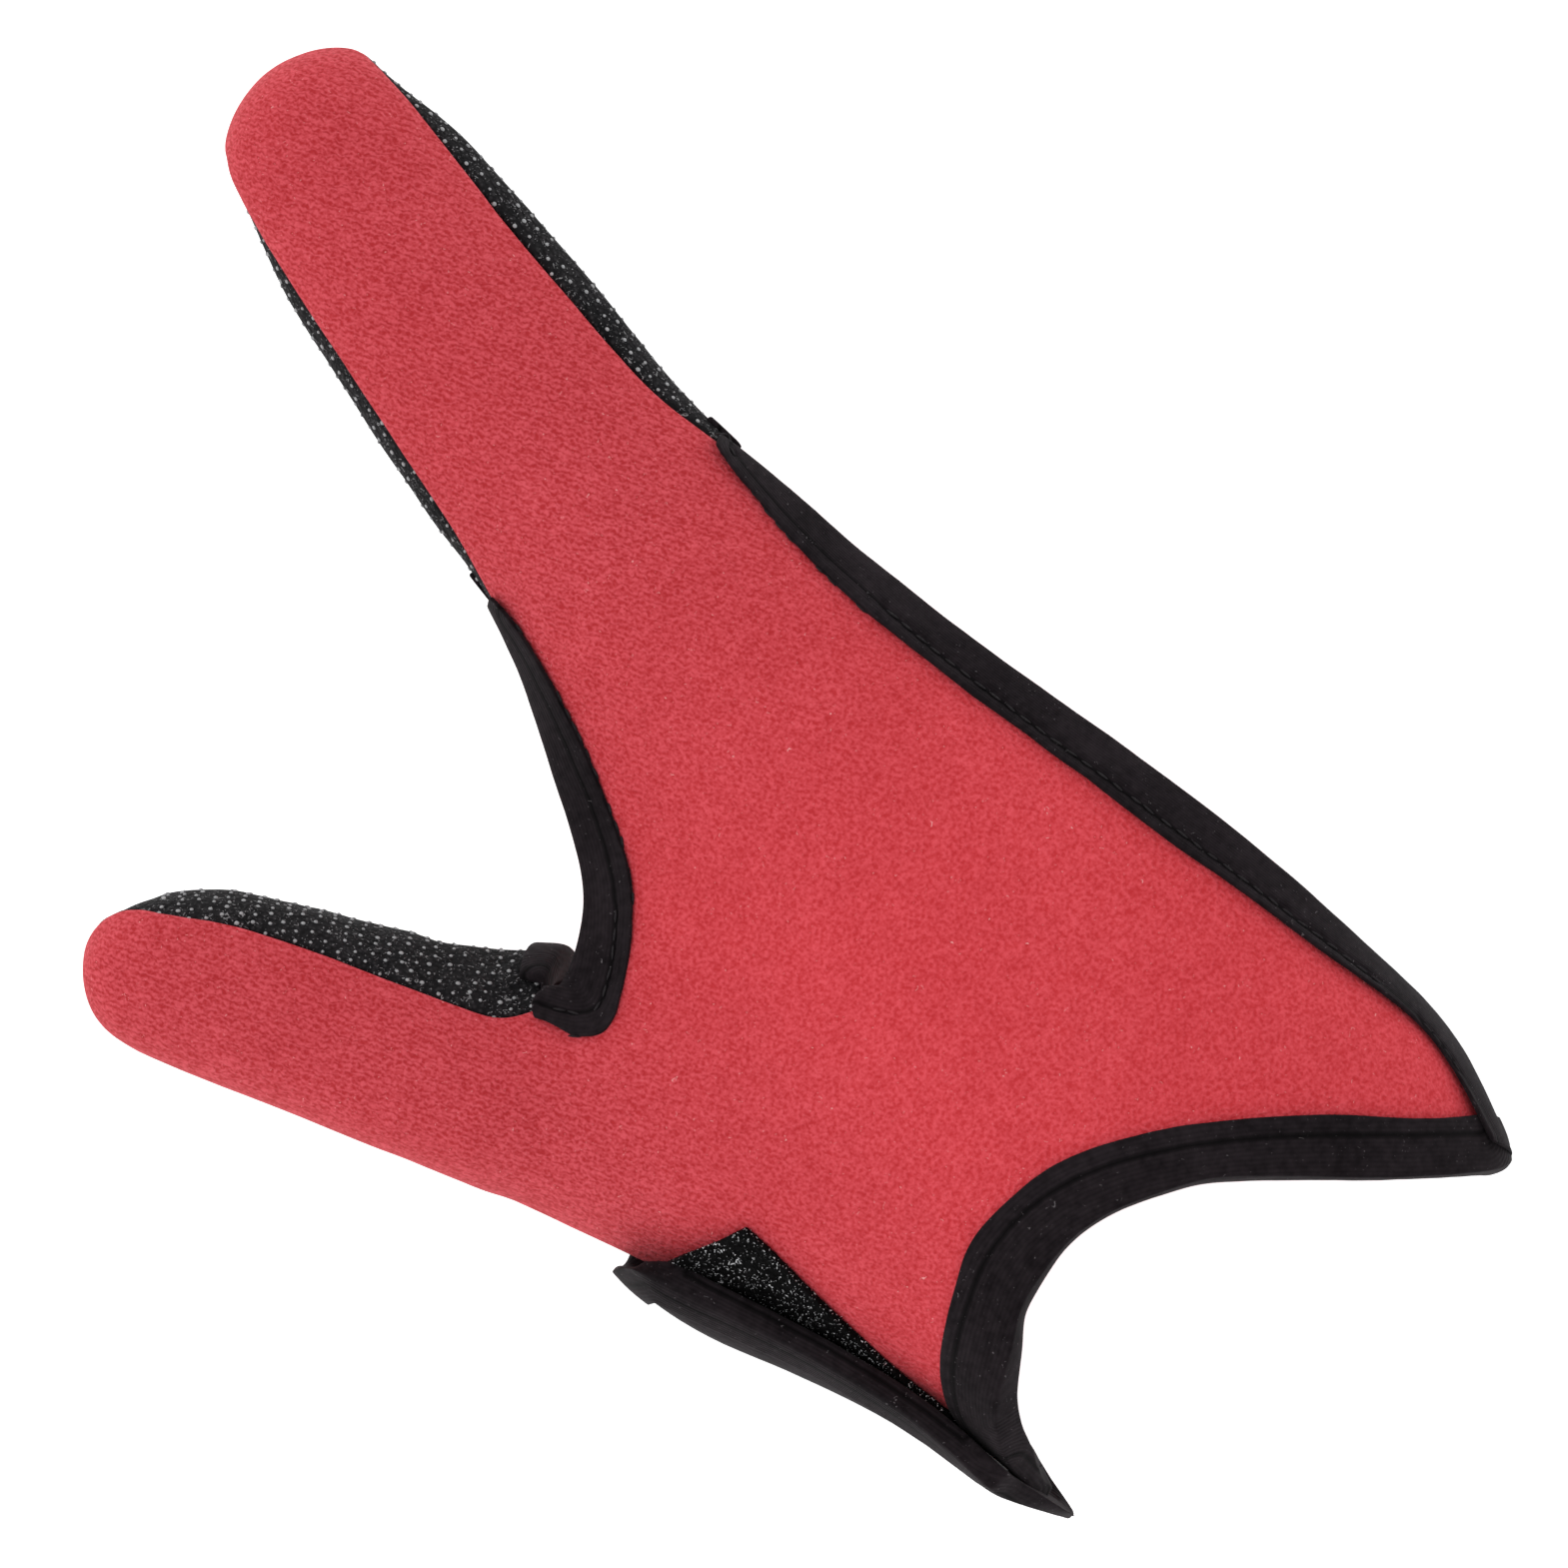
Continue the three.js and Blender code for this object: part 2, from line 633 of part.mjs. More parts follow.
// Back panel
const panelInner = new Map([...face.keys()].map((id) => [id, offset(id, -foam_wall)]));
addPiece("back_panel", solidOf(panelQuads, face, panelInner), red, foam_roughness);

const cuff_lift = piece_gap + tape_wall; // the cuff's tape passes under the knit's end
const cuff_rows = 3; // last rows of a knit, which are lifted
const tip_rows = 2; // first rows of a knit, with a wider seam round the fingertip
const tip_gap = 3 * piece_gap;
const row_ids = 100; // more than the columns of any row

// Grip knit under a finger: it starts and ends beside the panel's edge and closes the tip.
function knitOf(grid, sections, stations, endRow, corner, side, columns) {
  const points = new Map();
  const seam = new Map();
  const quads = [];
  const rows = [];
  const beside = (id, i) => offset(id, -seam_drop, i < tip_rows ? tip_gap : piece_gap);
  for (let i = 0; i <= endRow; i += 1) {
    const panelRow = grid[i];
    const section = sectionAt(sections, stations[i], corner);
    section.start = beside(panelRow[0], i);
    section.end = beside(panelRow[panelRow.length - 1], i);
    const row = [];
    for (let j = 0; j <= columns; j += 1) {
      let p;
      if (i === 0) {
        p = beside(panelRow[j], 0);
      } else {
        p = arcPoint(section, j / columns, side, false);
        p.z = Math.max(i > endRow - cuff_rows ? cuff_lift : 0, p.z);
      }
      if (i === 0 || j === 0 || j === columns) {
        seam.set(i * row_ids + j, normal.get(panelRow[j === columns ? panelRow.length - 1 : j]));
      }
      points.set(i * row_ids + j, p);
      row.push(i * row_ids + j);
    }
    rows.push(row);
  }
  quads.push(...quadsOf(rows, side > 0, allRows(rows), allColumns(rows)));
  return { points, quads, rows, seam, flip: side > 0 };
}
function addKnit(name, cuffName, knit, cuffRow) {
  const normals = normalsOf(knit.points, knit.quads);
  knit.seam.forEach((direction, id) => normals.set(id, direction));
  const at = (id, off) => knit.points.get(id).clone().addScaledVector(normals.get(id), off);
  const inner = new Map([...knit.points.keys()].map((id) => [id, at(id, -knit_wall)]));
  addPiece(name, solidOf(knit.quads, knit.points, inner), knitBlack, knit_roughness);
  const last = knit.rows.length - 1;
  const chain = knit.rows[last];
  const out = new Map();
  chain.forEach((id, j) => {
    const before = knit.points.get(chain[Math.max(0, j - 1)]);
    const after = knit.points.get(chain[Math.min(chain.length - 1, j + 1)]);
    const direction = after.clone().sub(before).cross(normals.get(id)).normalize();
    const inward = knit.points.get(knit.rows[last - 1][j]).clone().sub(knit.points.get(id));
    out.set(id, direction.multiplyScalar(direction.dot(inward) > 0 ? -1 : 1));
  });
  const place = (id, off, away) => {
    const p = at(id, off);
    return away ? p.addScaledVector(out.get(id), away) : p;
  };
  const columns = [1, chain.length - 2];
  const quads = quadsOf(knit.rows, knit.flip, [cuffRow, last], columns);
  const cuffEdge = chain.slice(columns[0], columns[1] + 1);
  addPiece(cuffName, foldedTape(quads, cuffEdge, knit_wall, place), tapeBlack, tape_roughness);
}
const indexKnit = knitOf(handGrid, handSections, hand_stations, knit_end_row, handBranch, 1, hand_columns);
addKnit("index_palm", "index_cuff", indexKnit, knit_end_row - 1);
const thumbKnit = knitOf(
  thumbGrid,
  thumbSections,
  thumb_stations,
  thumb_knit_end_row,
  thumbBranch,
  -1,
  thumb_columns,
);
addKnit("thumb_palm", "thumb_cuff", thumbKnit, thumb_knit_end_row - 1);

// Tapes round the panel's edges
const lastHand = handGrid.length - 1;
const lastThumb = thumbGrid.length - 1;
const columnOf = (grid, from, to, j) => grid.slice(from, to + 1).map((row) => row[j]);
const webQuads = [
  ...quadsOf(handGrid, false, [hand_tape_row, handTurn + 1], [0, 2]),
  ...quadsOf(thumbGrid, true, [thumb_tape_row, thumbTurn + 1], [0, 2]),
];
const webChain = [
  ...columnOf(handGrid, hand_tape_row, handTurn, 0),
  ...columnOf(thumbGrid, thumb_tape_row, thumbTurn - 1, 0).reverse(),
];
addPiece("web_binding", foldedTape(webQuads, webChain, foam_wall, offset), tapeBlack, tape_roughness);

// A row of new places a little before a row of the hand's grid.
function rowBefore(grid, i, distance) {
  return grid[i].map((id, j) => {
    const other = grid[i - 1][j];
    const share = distance / vertices[id].distanceTo(vertices[other]);
    const made = keep(vertices[id].clone().lerp(vertices[other], share));
    normal.set(made, normal.get(id).clone().lerp(normal.get(other), share).normalize());
    if (outward.has(id) && outward.has(other)) {
      outward.set(made, outward.get(id).clone().lerp(outward.get(other), share).normalize());
    }
    return made;
  });
}
const outerRowsGrid = [...handGrid.slice(0, lastHand - 2), rowBefore(handGrid, lastHand - 2, 2 * piece_gap)];
const outerLast = outerRowsGrid.length - 1;
const outerEdge = [hand_columns - 2, hand_columns];
addPiece(
  "outer_binding",
  foldedTape(
    quadsOf(outerRowsGrid, false, [hand_tape_row, outerLast], outerEdge),
    columnOf(outerRowsGrid, hand_tape_row, outerLast, hand_columns),
    foam_wall,
    offset,
  ),
  tapeBlack,
  tape_roughness,
);
const wristQuads = [
  ...quadsOf(handGrid, false, [lastHand - 2, lastHand], allColumns(handGrid)),
  ...quadsOf(thumbGrid, true, [lastThumb - 2, lastThumb], allColumns(thumbGrid)),
];
const wristChain = [
  ...columnOf(thumbGrid, lastThumb - 2, lastThumb - 1, thumb_columns),
  ...thumbGrid[lastThumb].slice(1).reverse(),
  ...handGrid[lastHand],
  ...columnOf(handGrid, lastHand - 2, lastHand - 1, hand_columns).reverse(),
];
addPiece("wrist_binding", foldedTape(wristQuads, wristChain, foam_wall, offset), tapeBlack, tape_roughness);

// A place on a strip's mesh, given in rows and columns, lifted off the cloth.
function onCloth(grid, row, column, off) {
  const i = Math.min(Math.floor(row), grid.length - 2);
  const j = Math.min(Math.floor(column), grid[0].length - 2);
  const shares = [
    [grid[i][j], (1 - row + i) * (1 - column + j)],
    [grid[i + 1][j], (row - i) * (1 - column + j)],
    [grid[i][j + 1], (1 - row + i) * (column - j)],
    [grid[i + 1][j + 1], (row - i) * (column - j)],
  ];
  const place = point(0, 0, 0);
  const direction = point(0, 0, 0);
  for (const [id, share] of shares) {
    place.addScaledVector(vertices[id], share);
    direction.addScaledVector(normal.get(id), share);
  }
  return { place: place.addScaledVector(direction.normalize(), off), direction };
}

// Wrist strap: rows along its width, from its edge at the fingers to its edge at the wrist.
// Rows and columns count along the panel's mesh.
const strap_stack = 3 * piece_gap + loop_wall + hook_wall + strap_wall;
const strap_floor = piece_gap + tape_wall; // the binding passes under the strap
const strap_lines = sharesOf(
  ["thumb_row", "end_column", "outer_row", "slack", "drawn"],
  [
    [19.7, 9, 30.2, 0, 0],
    [21.9, 9, 31.5, 1, 0.2],
    [24, 8.8, 32.8, 1.1, 0.45],
    [25.8, 8.6, 34.1, 0.3, 0.72],
    [28.3, 8.7, 35.4, -0.4, 1],
  ],
);
// Under the wrist the strap is drawn towards the fingers, by these shares of the hand's length.
const drawn_side = 0.065;
const drawn_under = 0.178;
const drawn_middle = 0.2;
const drawn_base = 0.08;
// Its folds and bends there, as distances in from the glove's two sides and heights, in mm.
const side_fold = 0.5;
const side_bend = 4;
const side_lift = 0.4;
const side_under = 13;
const middle_place = 0.45; // of the way from the thumb's side to the outer side
const outer_under = 16;
const outer_bend = 6;
const outer_lift = 1;
const outer_fold = 1.2;
const outer_pull = 0.01; // of the hand's length
const rim_distance = 1.6;
const start_inset = 0.8; // columns in from the panel's outer edge
const slack_first = 0.2; // shares of a line's slack where it leaves the closure
const slack_second = 0.6;
const strap_columns = 10;
const strap_steps = 20;
function strapControls(share) {
  const u = share * (strap_lines.length - 1);
  const line = (name) => smooth(strap_lines.map((row) => row[name]), u, -1);
  const on = (column, off) => onCloth(thumbGrid, line("thumb_row"), column, strap_stack + off);
  const from = line("end_column");
  const side = on(thumb_columns, line("slack"));
  const inward = point(-side.direction.x, -side.direction.y, 0).normalize();
  const inside = -foam_wall - 2 * piece_gap - tape_wall;
  const start = onCloth(handGrid, line("outer_row"), hand_columns - start_inset, inside).place;
  const edge = onCloth(handGrid, line("outer_row"), hand_columns, inside);
  const out = point(edge.direction.x, edge.direction.y, 0).normalize();
  const rim = outward.get(handGrid[Math.round(line("outer_row"))][hand_columns]);
  const below = edge.place.clone().addScaledVector(rim, rim_distance);
  const beside = (from, direction, distance, height, drawn) =>
    point(
      from.x + direction.x * distance,
      from.y + direction.y * distance + drawn * line("drawn") * hand_length,
      height,
    );
  return [
    on(from, 0).place,
    on(from + 1, line("slack") * slack_first).place,
    on(from + 2, line("slack") * slack_second).place,
    side.place,
    beside(side.place, inward, side_fold, side.place.z / 2, 0),
    beside(side.place, inward, side_bend, strap_floor + side_lift, drawn_side),
    beside(side.place, inward, side_under, strap_floor, drawn_under),
    beside(side.place.clone().lerp(below, middle_place), inward, 0, strap_floor, drawn_middle),
    beside(below, out, -outer_under, strap_floor, drawn_base),
    beside(below, out, -outer_bend, strap_floor + outer_lift, outer_pull),
    beside(below, out, -outer_fold, below.z / 2, 0),
    below,
    start,
  ];
}
function strapFace(share, t) {
  const controls = strapControls(share);
  const p = smoothPoint(controls, t * (controls.length - 1), -1);
  p.z = Math.max(strap_floor, p.z);
  return p;
}
const strapTape = { width: strap_tape };
const strapRuns = stationsOf(strapFace, 0.5, strapTape, null, strap_steps).map((t) => {
  const across = (_, share) => strapFace(share, t);
  return stationsOf(across, 0, strapTape, strapTape, strap_columns).map((share) => keep(across(0, share)));
});
const strapGrid = strapRuns[0].map((_, k) => strapRuns.map((run) => run[k]));
const strapQuads = quadsOf(strapGrid, true, allRows(strapGrid), allColumns(strapGrid));
const strapFaces = new Map(strapGrid.flat().map((id) => [id, vertices[id]]));
normalsOf(strapFaces, strapQuads).forEach((direction, id) => normal.set(id, direction));
findOutward(strapQuads);
const strapInner = new Map([...strapFaces.keys()].map((id) => [id, offset(id, -strap_wall)]));
addPiece("wrist_strap", solidOf(strapQuads, strapFaces, strapInner), strapBlack, strap_roughness);

const bindingEnd = strap_steps - 1;
const strapTapeQuads = [
  ...quadsOf(strapGrid, true, [0, 2], [0, bindingEnd]),
  ...quadsOf(strapGrid, true, [2, strap_columns - 2], [0, 2]),
  ...quadsOf(strapGrid, true, [strap_columns - 2, strap_columns], [0, bindingEnd]),
];
const strapChain = [
  ...strapGrid[0].slice(0, bindingEnd + 1).reverse(),
  ...columnOf(strapGrid, 1, strap_columns - 1, 0),
  ...strapGrid[strap_columns].slice(0, bindingEnd + 1),
];
const strapBinding = foldedTape(strapTapeQuads, strapChain, strap_wall, offset);
addPiece("strap_binding", strapBinding, tapeBlack, tape_roughness);

// A patch of cloth lying over rows of places.
function patchOf(rows, off, wall) {
  const outer = new Map();
  const inner = new Map();
  const ids = rows.map((row, i) =>
    row.map(({ place, direction }, j) => {
      outer.set(i * row_ids + j, place.clone().addScaledVector(direction, off + wall));
      inner.set(i * row_ids + j, place.clone().addScaledVector(direction, off));
      return i * row_ids + j;
    }),
  );
  return solidOf(quadsOf(ids, true, allRows(ids), allColumns(ids)), outer, inner);
}
// Loop half of the closure on the panel, from its top to the wrist tape.
const loop_rows = sharesOf(
  ["row", "column", "far_row"],
  [
    [21.5, 5.6, 20.6],
    [22.2, 6.1, 21.6],
    [23, 7, 22.5],
    [23.7, 7.7, 23.4],
    [24.5, 8.6, 24.3],
    [25.1, 9.1, 25.1],
    [25.86, 9.4, 25.86],
  ],
);
const loop_far_column = 11.4;
const loop_columns = 5;
const loopPlaces = loop_rows.map((row) => {
  const places = [];
  for (let j = 0; j <= loop_columns; j += 1) {
    const share = j / loop_columns;
    const column = row.column + (loop_far_column - row.column) * share;
    places.push(onCloth(thumbGrid, row.row + (row.far_row - row.row) * share, column, 0));
  }
  return places;
});
addPiece("loop_patch", patchOf(loopPlaces, piece_gap, loop_wall), loopBlack, pile_roughness);

// Hook half of the closure inside the strap's end.
const hook_rows = [2.15, 3, 4, 5, 6, 7, 7.85]; // of the strap's mesh, inside its binding
const hook_columns = [2.15, 3, 4, 5, 5.8];
const hookPlaces = hook_rows.map((row) => hook_columns.map((column) => onCloth(strapGrid, row, column, 0)));
const hookOff = -strap_wall - piece_gap - hook_wall;
addPiece("hook_patch", patchOf(hookPlaces, hookOff, hook_wall), loopBlack, pile_roughness);

// Centre the glove over its foot, resting on the floor.
const box = new THREE.Box3().setFromObject(glove);
const middle = box.getCenter(point(0, 0, 0));
glove.children.forEach((mesh) => mesh.geometry.translate(-middle.x, -middle.y, -box.min.z));

export default glove;
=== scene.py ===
import heapq
import math
import random

import bmesh
import bpy
from mathutils import Matrix, Vector, noise
from mathutils.bvhtree import BVHTree
from mathutils.kdtree import KDTree


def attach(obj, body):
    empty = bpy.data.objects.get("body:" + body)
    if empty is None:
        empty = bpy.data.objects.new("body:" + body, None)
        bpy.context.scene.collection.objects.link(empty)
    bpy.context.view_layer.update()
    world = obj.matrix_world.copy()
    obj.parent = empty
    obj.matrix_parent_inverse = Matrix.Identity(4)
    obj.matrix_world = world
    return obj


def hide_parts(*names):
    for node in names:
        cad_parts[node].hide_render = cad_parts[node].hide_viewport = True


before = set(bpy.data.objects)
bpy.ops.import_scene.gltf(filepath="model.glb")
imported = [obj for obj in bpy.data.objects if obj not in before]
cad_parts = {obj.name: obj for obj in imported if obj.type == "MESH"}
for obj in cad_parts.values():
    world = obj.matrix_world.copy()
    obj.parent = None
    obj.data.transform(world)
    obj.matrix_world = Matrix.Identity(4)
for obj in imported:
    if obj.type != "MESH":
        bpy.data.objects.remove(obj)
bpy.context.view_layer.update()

mm = 0.001

# Back panel
# One piece of foam with a brushed red jersey face. It covers the back of the index finger,
# the hand and the thumb, and every other piece is sewn to its edges.
weld = 0.002 * mm
cloth_lift = 0.1 * mm  # the cloth lies on its grip dots
flat_enough = math.radians(50)
square_enough = math.radians(60)
fold_angle = math.radians(38)
panel_crease = 0.35
panel_swells = ((24 * mm, 0.32 * mm), (9 * mm, 0.13 * mm), (3.4 * mm, 0.045 * mm))
# Pulls: place across and along, reach wide and long, move to the right, ahead and up, in mm
panel_pulls = (
    (22.0, 105.5, 15, 9, -0.1, 0.7, 0.0),
    (-4.5, -102.0, 5, 5, -2.4, -0.4, 0.0),
    (38.4, 35.0, 6, 8, 0.8, -0.3, 0.0),
    (3.6, -82.6, 6, 8, -0.9, 0.7, 0.0),
)
outer_corner = (63.9, -101.8)
outer_corner_radius = 3.4
panel_corner_inset = 1.0
corner_margin = 1.0
corner_rest = 0.06  # share of the old corner that is left
panel_folds = (  # place across and along, turn in degrees, length, breadth, depth, all in mm
    dict(across=27.0, along=27.0, turn=-12, length=26, breadth=4.2, depth=0.28),
    dict(across=14.0, along=20.0, turn=-28, length=24, breadth=4.5, depth=0.25),
    dict(across=-30.0, along=-26.0, turn=28, length=22, breadth=4.0, depth=0.3),
    dict(across=-36.0, along=-14.0, turn=40, length=18, breadth=3.4, depth=0.25),
    dict(across=22.0, along=70.0, turn=4, length=24, breadth=4.0, depth=0.2),
)
red_deep = (0.585, 0.046, 0.058, 1)
red_pale = (0.640, 0.056, 0.070, 1)
red_lint = (0.78, 0.30, 0.30, 1)
# Painted shade and highlight on the red nap: colour factors for its hollows and for its crests, on the
# hand and on the fingers
hollow_shade_on_hand = (0.84, 0.58, 0.58, 1)
crest_light_on_hand = (1.12, 1.42, 1.42, 1)
hollow_shade_on_finger = (0.66, 0.46, 0.46, 1)
crest_light_on_finger = (1.0, 1.5, 1.5, 1)
row_pitch = 0.75 * mm
wave_unit = math.pi / 10  # width of one band of the wave texture at a scale of 1


def joined_copy(node, pulls=()):
    """A node's mesh with its triangles joined again, eased where the real cloth lies otherwise."""
    form = bmesh.new()
    form.from_mesh(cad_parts[node].data)
    bmesh.ops.remove_doubles(form, verts=form.verts, dist=weld)
    bmesh.ops.join_triangles(
        form,
        faces=form.faces,
        angle_face_threshold=flat_enough,
        angle_shape_threshold=square_enough,
    )
    for across, along, wide, long, right, ahead, up in pulls:
        for vert in form.verts:
            aside = (vert.co.x / mm - across) / wide
            beyond = (vert.co.y / mm - along) / long
            share = max(0.0, 1 - aside**2 - beyond**2) ** 2
            vert.co += Vector((right, ahead, up)) * share * mm
    return form


def round_corner(form, centre, radius):
    """Rounds the glove's outer corner at the wrist, which the photograph shows as a soft turn."""
    right = Vector((0.8, -0.6))
    back = Vector((-0.6, -0.8))
    centre = Vector(centre) * mm
    radius = radius * mm
    margin = corner_margin * mm
    for vert in form.verts:
        away = vert.co.xy - centre
        if away.dot(right) > -margin and away.dot(back) > -margin and away.length > radius:
            reach = radius + corner_rest * (away.length - radius)
            vert.co.xy = centre + away.normalized() * reach


def lay_down(vertices, lowest):
    """Cloth lies flat where it touches the table."""
    for vertex in vertices:
        vertex.co.z = max(vertex.co.z, lowest)


def rounded(name, form, levels, crease):
    held = form.edges.layers.float.new("crease_edge")
    for edge in form.edges:
        if edge.is_manifold and edge.calc_face_angle() > fold_angle:
            edge[held] = crease
    piece = bpy.data.objects.new(name, bpy.data.meshes.new(name))
    form.to_mesh(piece.data)
    bpy.context.scene.collection.objects.link(piece)
    finer = piece.modifiers.new("rounding", "SUBSURF")
    finer.levels = levels
    finer.render_levels = levels
    seen = piece.evaluated_get(bpy.context.evaluated_depsgraph_get())
    piece.data = bpy.data.meshes.new_from_object(seen)
    piece.modifiers.clear()
    piece.data.shade_smooth()
    lay_down(piece.data.vertices, cloth_lift)
    return piece


def swell(piece, swells, start):
    facing = [vertex.normal.copy() for vertex in piece.data.vertices]
    for vertex, normal in zip(piece.data.vertices, facing):
        for size, depth in swells:
            vertex.co += normal * depth * noise.noise(vertex.co / size + Vector((start, 0, 0)))
    lay_down(piece.data.vertices, cloth_lift)


def press_folds(piece, folds):
    for fold in folds:
        turn = math.radians(fold["turn"])
        along = Vector((math.cos(turn), math.sin(turn)))
        across = Vector((-along.y, along.x))
        middle = Vector((fold["across"], fold["along"])) * mm
        for vertex in piece.data.vertices:
            if vertex.normal.z < 0.1:
                continue
            away = vertex.co.xy - middle
            ahead = abs(away.dot(along)) / (0.5 * fold["length"] * mm)
            aside = away.dot(across) / (fold["breadth"] * mm)
            if ahead < 1 and abs(aside) < 3:
                share = (1 - ahead**2) ** 2 * (1 - aside**2) * math.exp(-(aside**2))
                vertex.co -= vertex.normal * share * fold["depth"] * mm


def put(tree, kind, inputs=None, **settings):
    made = tree.nodes.new("ShaderNode" + kind)
    for name, value in settings.items():
        setattr(made, name, value)
    for name, value in (inputs or {}).items():
        if isinstance(value, bpy.types.NodeSocket):
            tree.links.new(value, made.inputs[name])
        else:
            made.inputs[name].default_value = value
    return made


def new_group(name, inputs, outputs):
    group = bpy.data.node_groups.new(name, "ShaderNodeTree")
    for label, kind in inputs.items():
        group.interface.new_socket(label, in_out="INPUT", socket_type="NodeSocket" + kind)
    for label, kind in outputs.items():
        group.interface.new_socket(label, in_out="OUTPUT", socket_type="NodeSocket" + kind)
    taken = group.nodes.new("NodeGroupInput").outputs
    given = group.nodes.new("NodeGroupOutput").inputs
    return group, taken, given


# Uneven dye: broad patches with a finer mottle between two shades
mottle_scale = 9.0  # against the broad patches
dye, taken, given = new_group(
    "uneven dye",
    {"Vector": "Vector", "Scale": "Float", "Deep": "Color", "Pale": "Color"},
    {"Color": "Color"},
)
broad = put(dye, "TexNoise", {"Vector": taken["Vector"], "Scale": taken["Scale"], "Detail": 3.0})
closer = put(dye, "Math", {0: taken["Scale"], 1: mottle_scale}, operation="MULTIPLY")
mottle = put(dye, "TexNoise", {"Vector": taken["Vector"], "Scale": closer.outputs[0], "Detail": 2.0})
both = put(dye, "Math", {0: broad.outputs["Fac"], 1: mottle.outputs["Fac"]}, operation="ADD")
spread = put(dye, "MapRange", {"Value": both.outputs[0], "From Min": 0.72, "From Max": 1.28})
shade = put(dye, "MixRGB", {0: spread.outputs[0], 1: taken["Deep"], 2: taken["Pale"]})
dye.links.new(shade.outputs[0], given["Color"])

# Lint and glints: short curled pale specks; on the red cloth and the tape they are lint caught on the
# cloth, on the black knit and the loop pile they are painted glints of light
lint_and_glints, taken, given = new_group(
    "lint_and_glints", {"Vector": "Vector", "Scale": "Float", "Limit": "Float"}, {"Mask": "Float"}
)
curls = put(
    lint_and_glints,
    "TexNoise",
    {"Vector": taken["Vector"], "Scale": taken["Scale"], "Detail": 1.0, "Distortion": 2.2},
)
above = put(lint_and_glints, "Math", {0: curls.outputs["Fac"], 1: taken["Limit"]}, operation="SUBTRACT")
ragged = put(lint_and_glints, "MapRange", {"Value": above.outputs[0], "From Min": 0.0, "From Max": 0.035})
lint_and_glints.links.new(ragged.outputs[0], given["Mask"])


def place_group(tree, group, inputs):
    made = tree.nodes.new("ShaderNodeGroup")
    made.node_tree = group
    for name, value in inputs.items():
        if isinstance(value, bpy.types.NodeSocket):
            tree.links.new(value, made.inputs[name])
        else:
            made.inputs[name].default_value = value
    return made.outputs[0]


def new_cloth(name, roughness, gloss, nap, nap_colour):
    cloth = bpy.data.materials.new(name)
    cloth.use_nodes = True
    tree = cloth.node_tree
    shader = tree.nodes["Principled BSDF"]
    shader.inputs["Roughness"].default_value = roughness
    shader.inputs["Specular IOR Level"].default_value = gloss
    shader.inputs["Sheen Weight"].default_value = nap
    shader.inputs["Sheen Roughness"].default_value = 0.45
    shader.inputs["Sheen Tint"].default_value = nap_colour
    place = put(tree, "TexCoord").outputs["Object"]
    return cloth, tree, shader, place


def raise_nap(tree, shader, height, strength, depth):
    bump = put(tree, "Bump", {"Height": height, "Strength": strength, "Distance": depth})
    tree.links.new(bump.outputs[0], shader.inputs["Normal"])


red_jersey, tree, shader, place = new_cloth(
    "red brushed jersey", roughness=0.9, gloss=0.12, nap=0.05, nap_colour=(1.0, 0.62, 0.6, 1)
)
turned = put(tree, "Mapping", {"Vector": place, "Rotation": (0, 0, math.radians(57))})
rows = put(
    tree,
    "TexWave",
    {
        "Vector": turned.outputs[0],
        "Scale": wave_unit / row_pitch,
        "Distortion": 8.0,
        "Detail": 3.0,
        "Detail Scale": 2.6,
    },
    bands_direction="Y",
)
fluff = put(tree, "TexNoise", {"Vector": place, "Scale": 1850.0, "Detail": 2.5})
# The rows show where the cloth is stretched over a finger, and are brushed flat on the hand
parts = put(tree, "SeparateXYZ", {0: place})
up_finger = put(tree, "MapRange", {"Value": parts.outputs[1], "From Min": -0.03, "From Max": 0.03})
up_thumb = put(tree, "MapRange", {"Value": parts.outputs[0], "From Min": 0.01, "From Max": -0.03})
stretched = put(tree, "Math", {0: up_finger.outputs[0], 1: up_thumb.outputs[0]}, operation="MAXIMUM")
share = put(tree, "MapRange", {"Value": stretched.outputs[0], "To Min": 0.05, "To Max": 0.2})
nap = put(tree, "MixRGB", {0: share.outputs[0], 1: fluff.outputs["Fac"], 2: rows.outputs["Fac"]})
dyed = place_group(tree, dye, {"Vector": place, "Scale": 40.0, "Deep": red_deep, "Pale": red_pale})
# Painted shade in the nap's hollows and painted highlight on its crests, stronger on the fingers
relief = put(tree, "MapRange", {"Value": nap.outputs[0], "From Min": 0.34, "From Max": 0.66})
painted_hollow_shade = put(tree, "MixRGB", {0: stretched.outputs[0], 1: hollow_shade_on_hand, 2: hollow_shade_on_finger})
painted_crest_light = put(tree, "MixRGB", {0: stretched.outputs[0], 1: crest_light_on_hand, 2: crest_light_on_finger})
painted_nap_shading = put(tree, "MixRGB", {0: relief.outputs[0], 1: painted_hollow_shade.outputs[0], 2: painted_crest_light.outputs[0]})
# The dyed red multiplied by the painted shade and highlight of the nap
with_painted_shading = put(tree, "MixRGB", {0: 1.0, 1: dyed, 2: painted_nap_shading.outputs[0]}, blend_type="MULTIPLY")
flecks = place_group(tree, lint_and_glints, {"Vector": place, "Scale": 1500.0, "Limit": 0.75})
flecked = put(tree, "MixRGB", {0: flecks, 1: with_painted_shading.outputs[0], 2: red_lint})
tree.links.new(flecked.outputs[0], shader.inputs["Base Color"])
raise_nap(tree, shader, nap.outputs[0], strength=0.9, depth=0.26 * mm)

panel_form = joined_copy("back_panel", panel_pulls)
round_corner(panel_form, outer_corner, outer_corner_radius - panel_corner_inset)
back_panel = rounded("panel_cloth", panel_form, 2, panel_crease)
swell(back_panel, panel_swells, start=3.0)
press_folds(back_panel, panel_folds)
back_panel.data.materials.clear()
back_panel.data.materials.append(red_jersey)
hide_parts("back_panel")
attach(back_panel, "root")

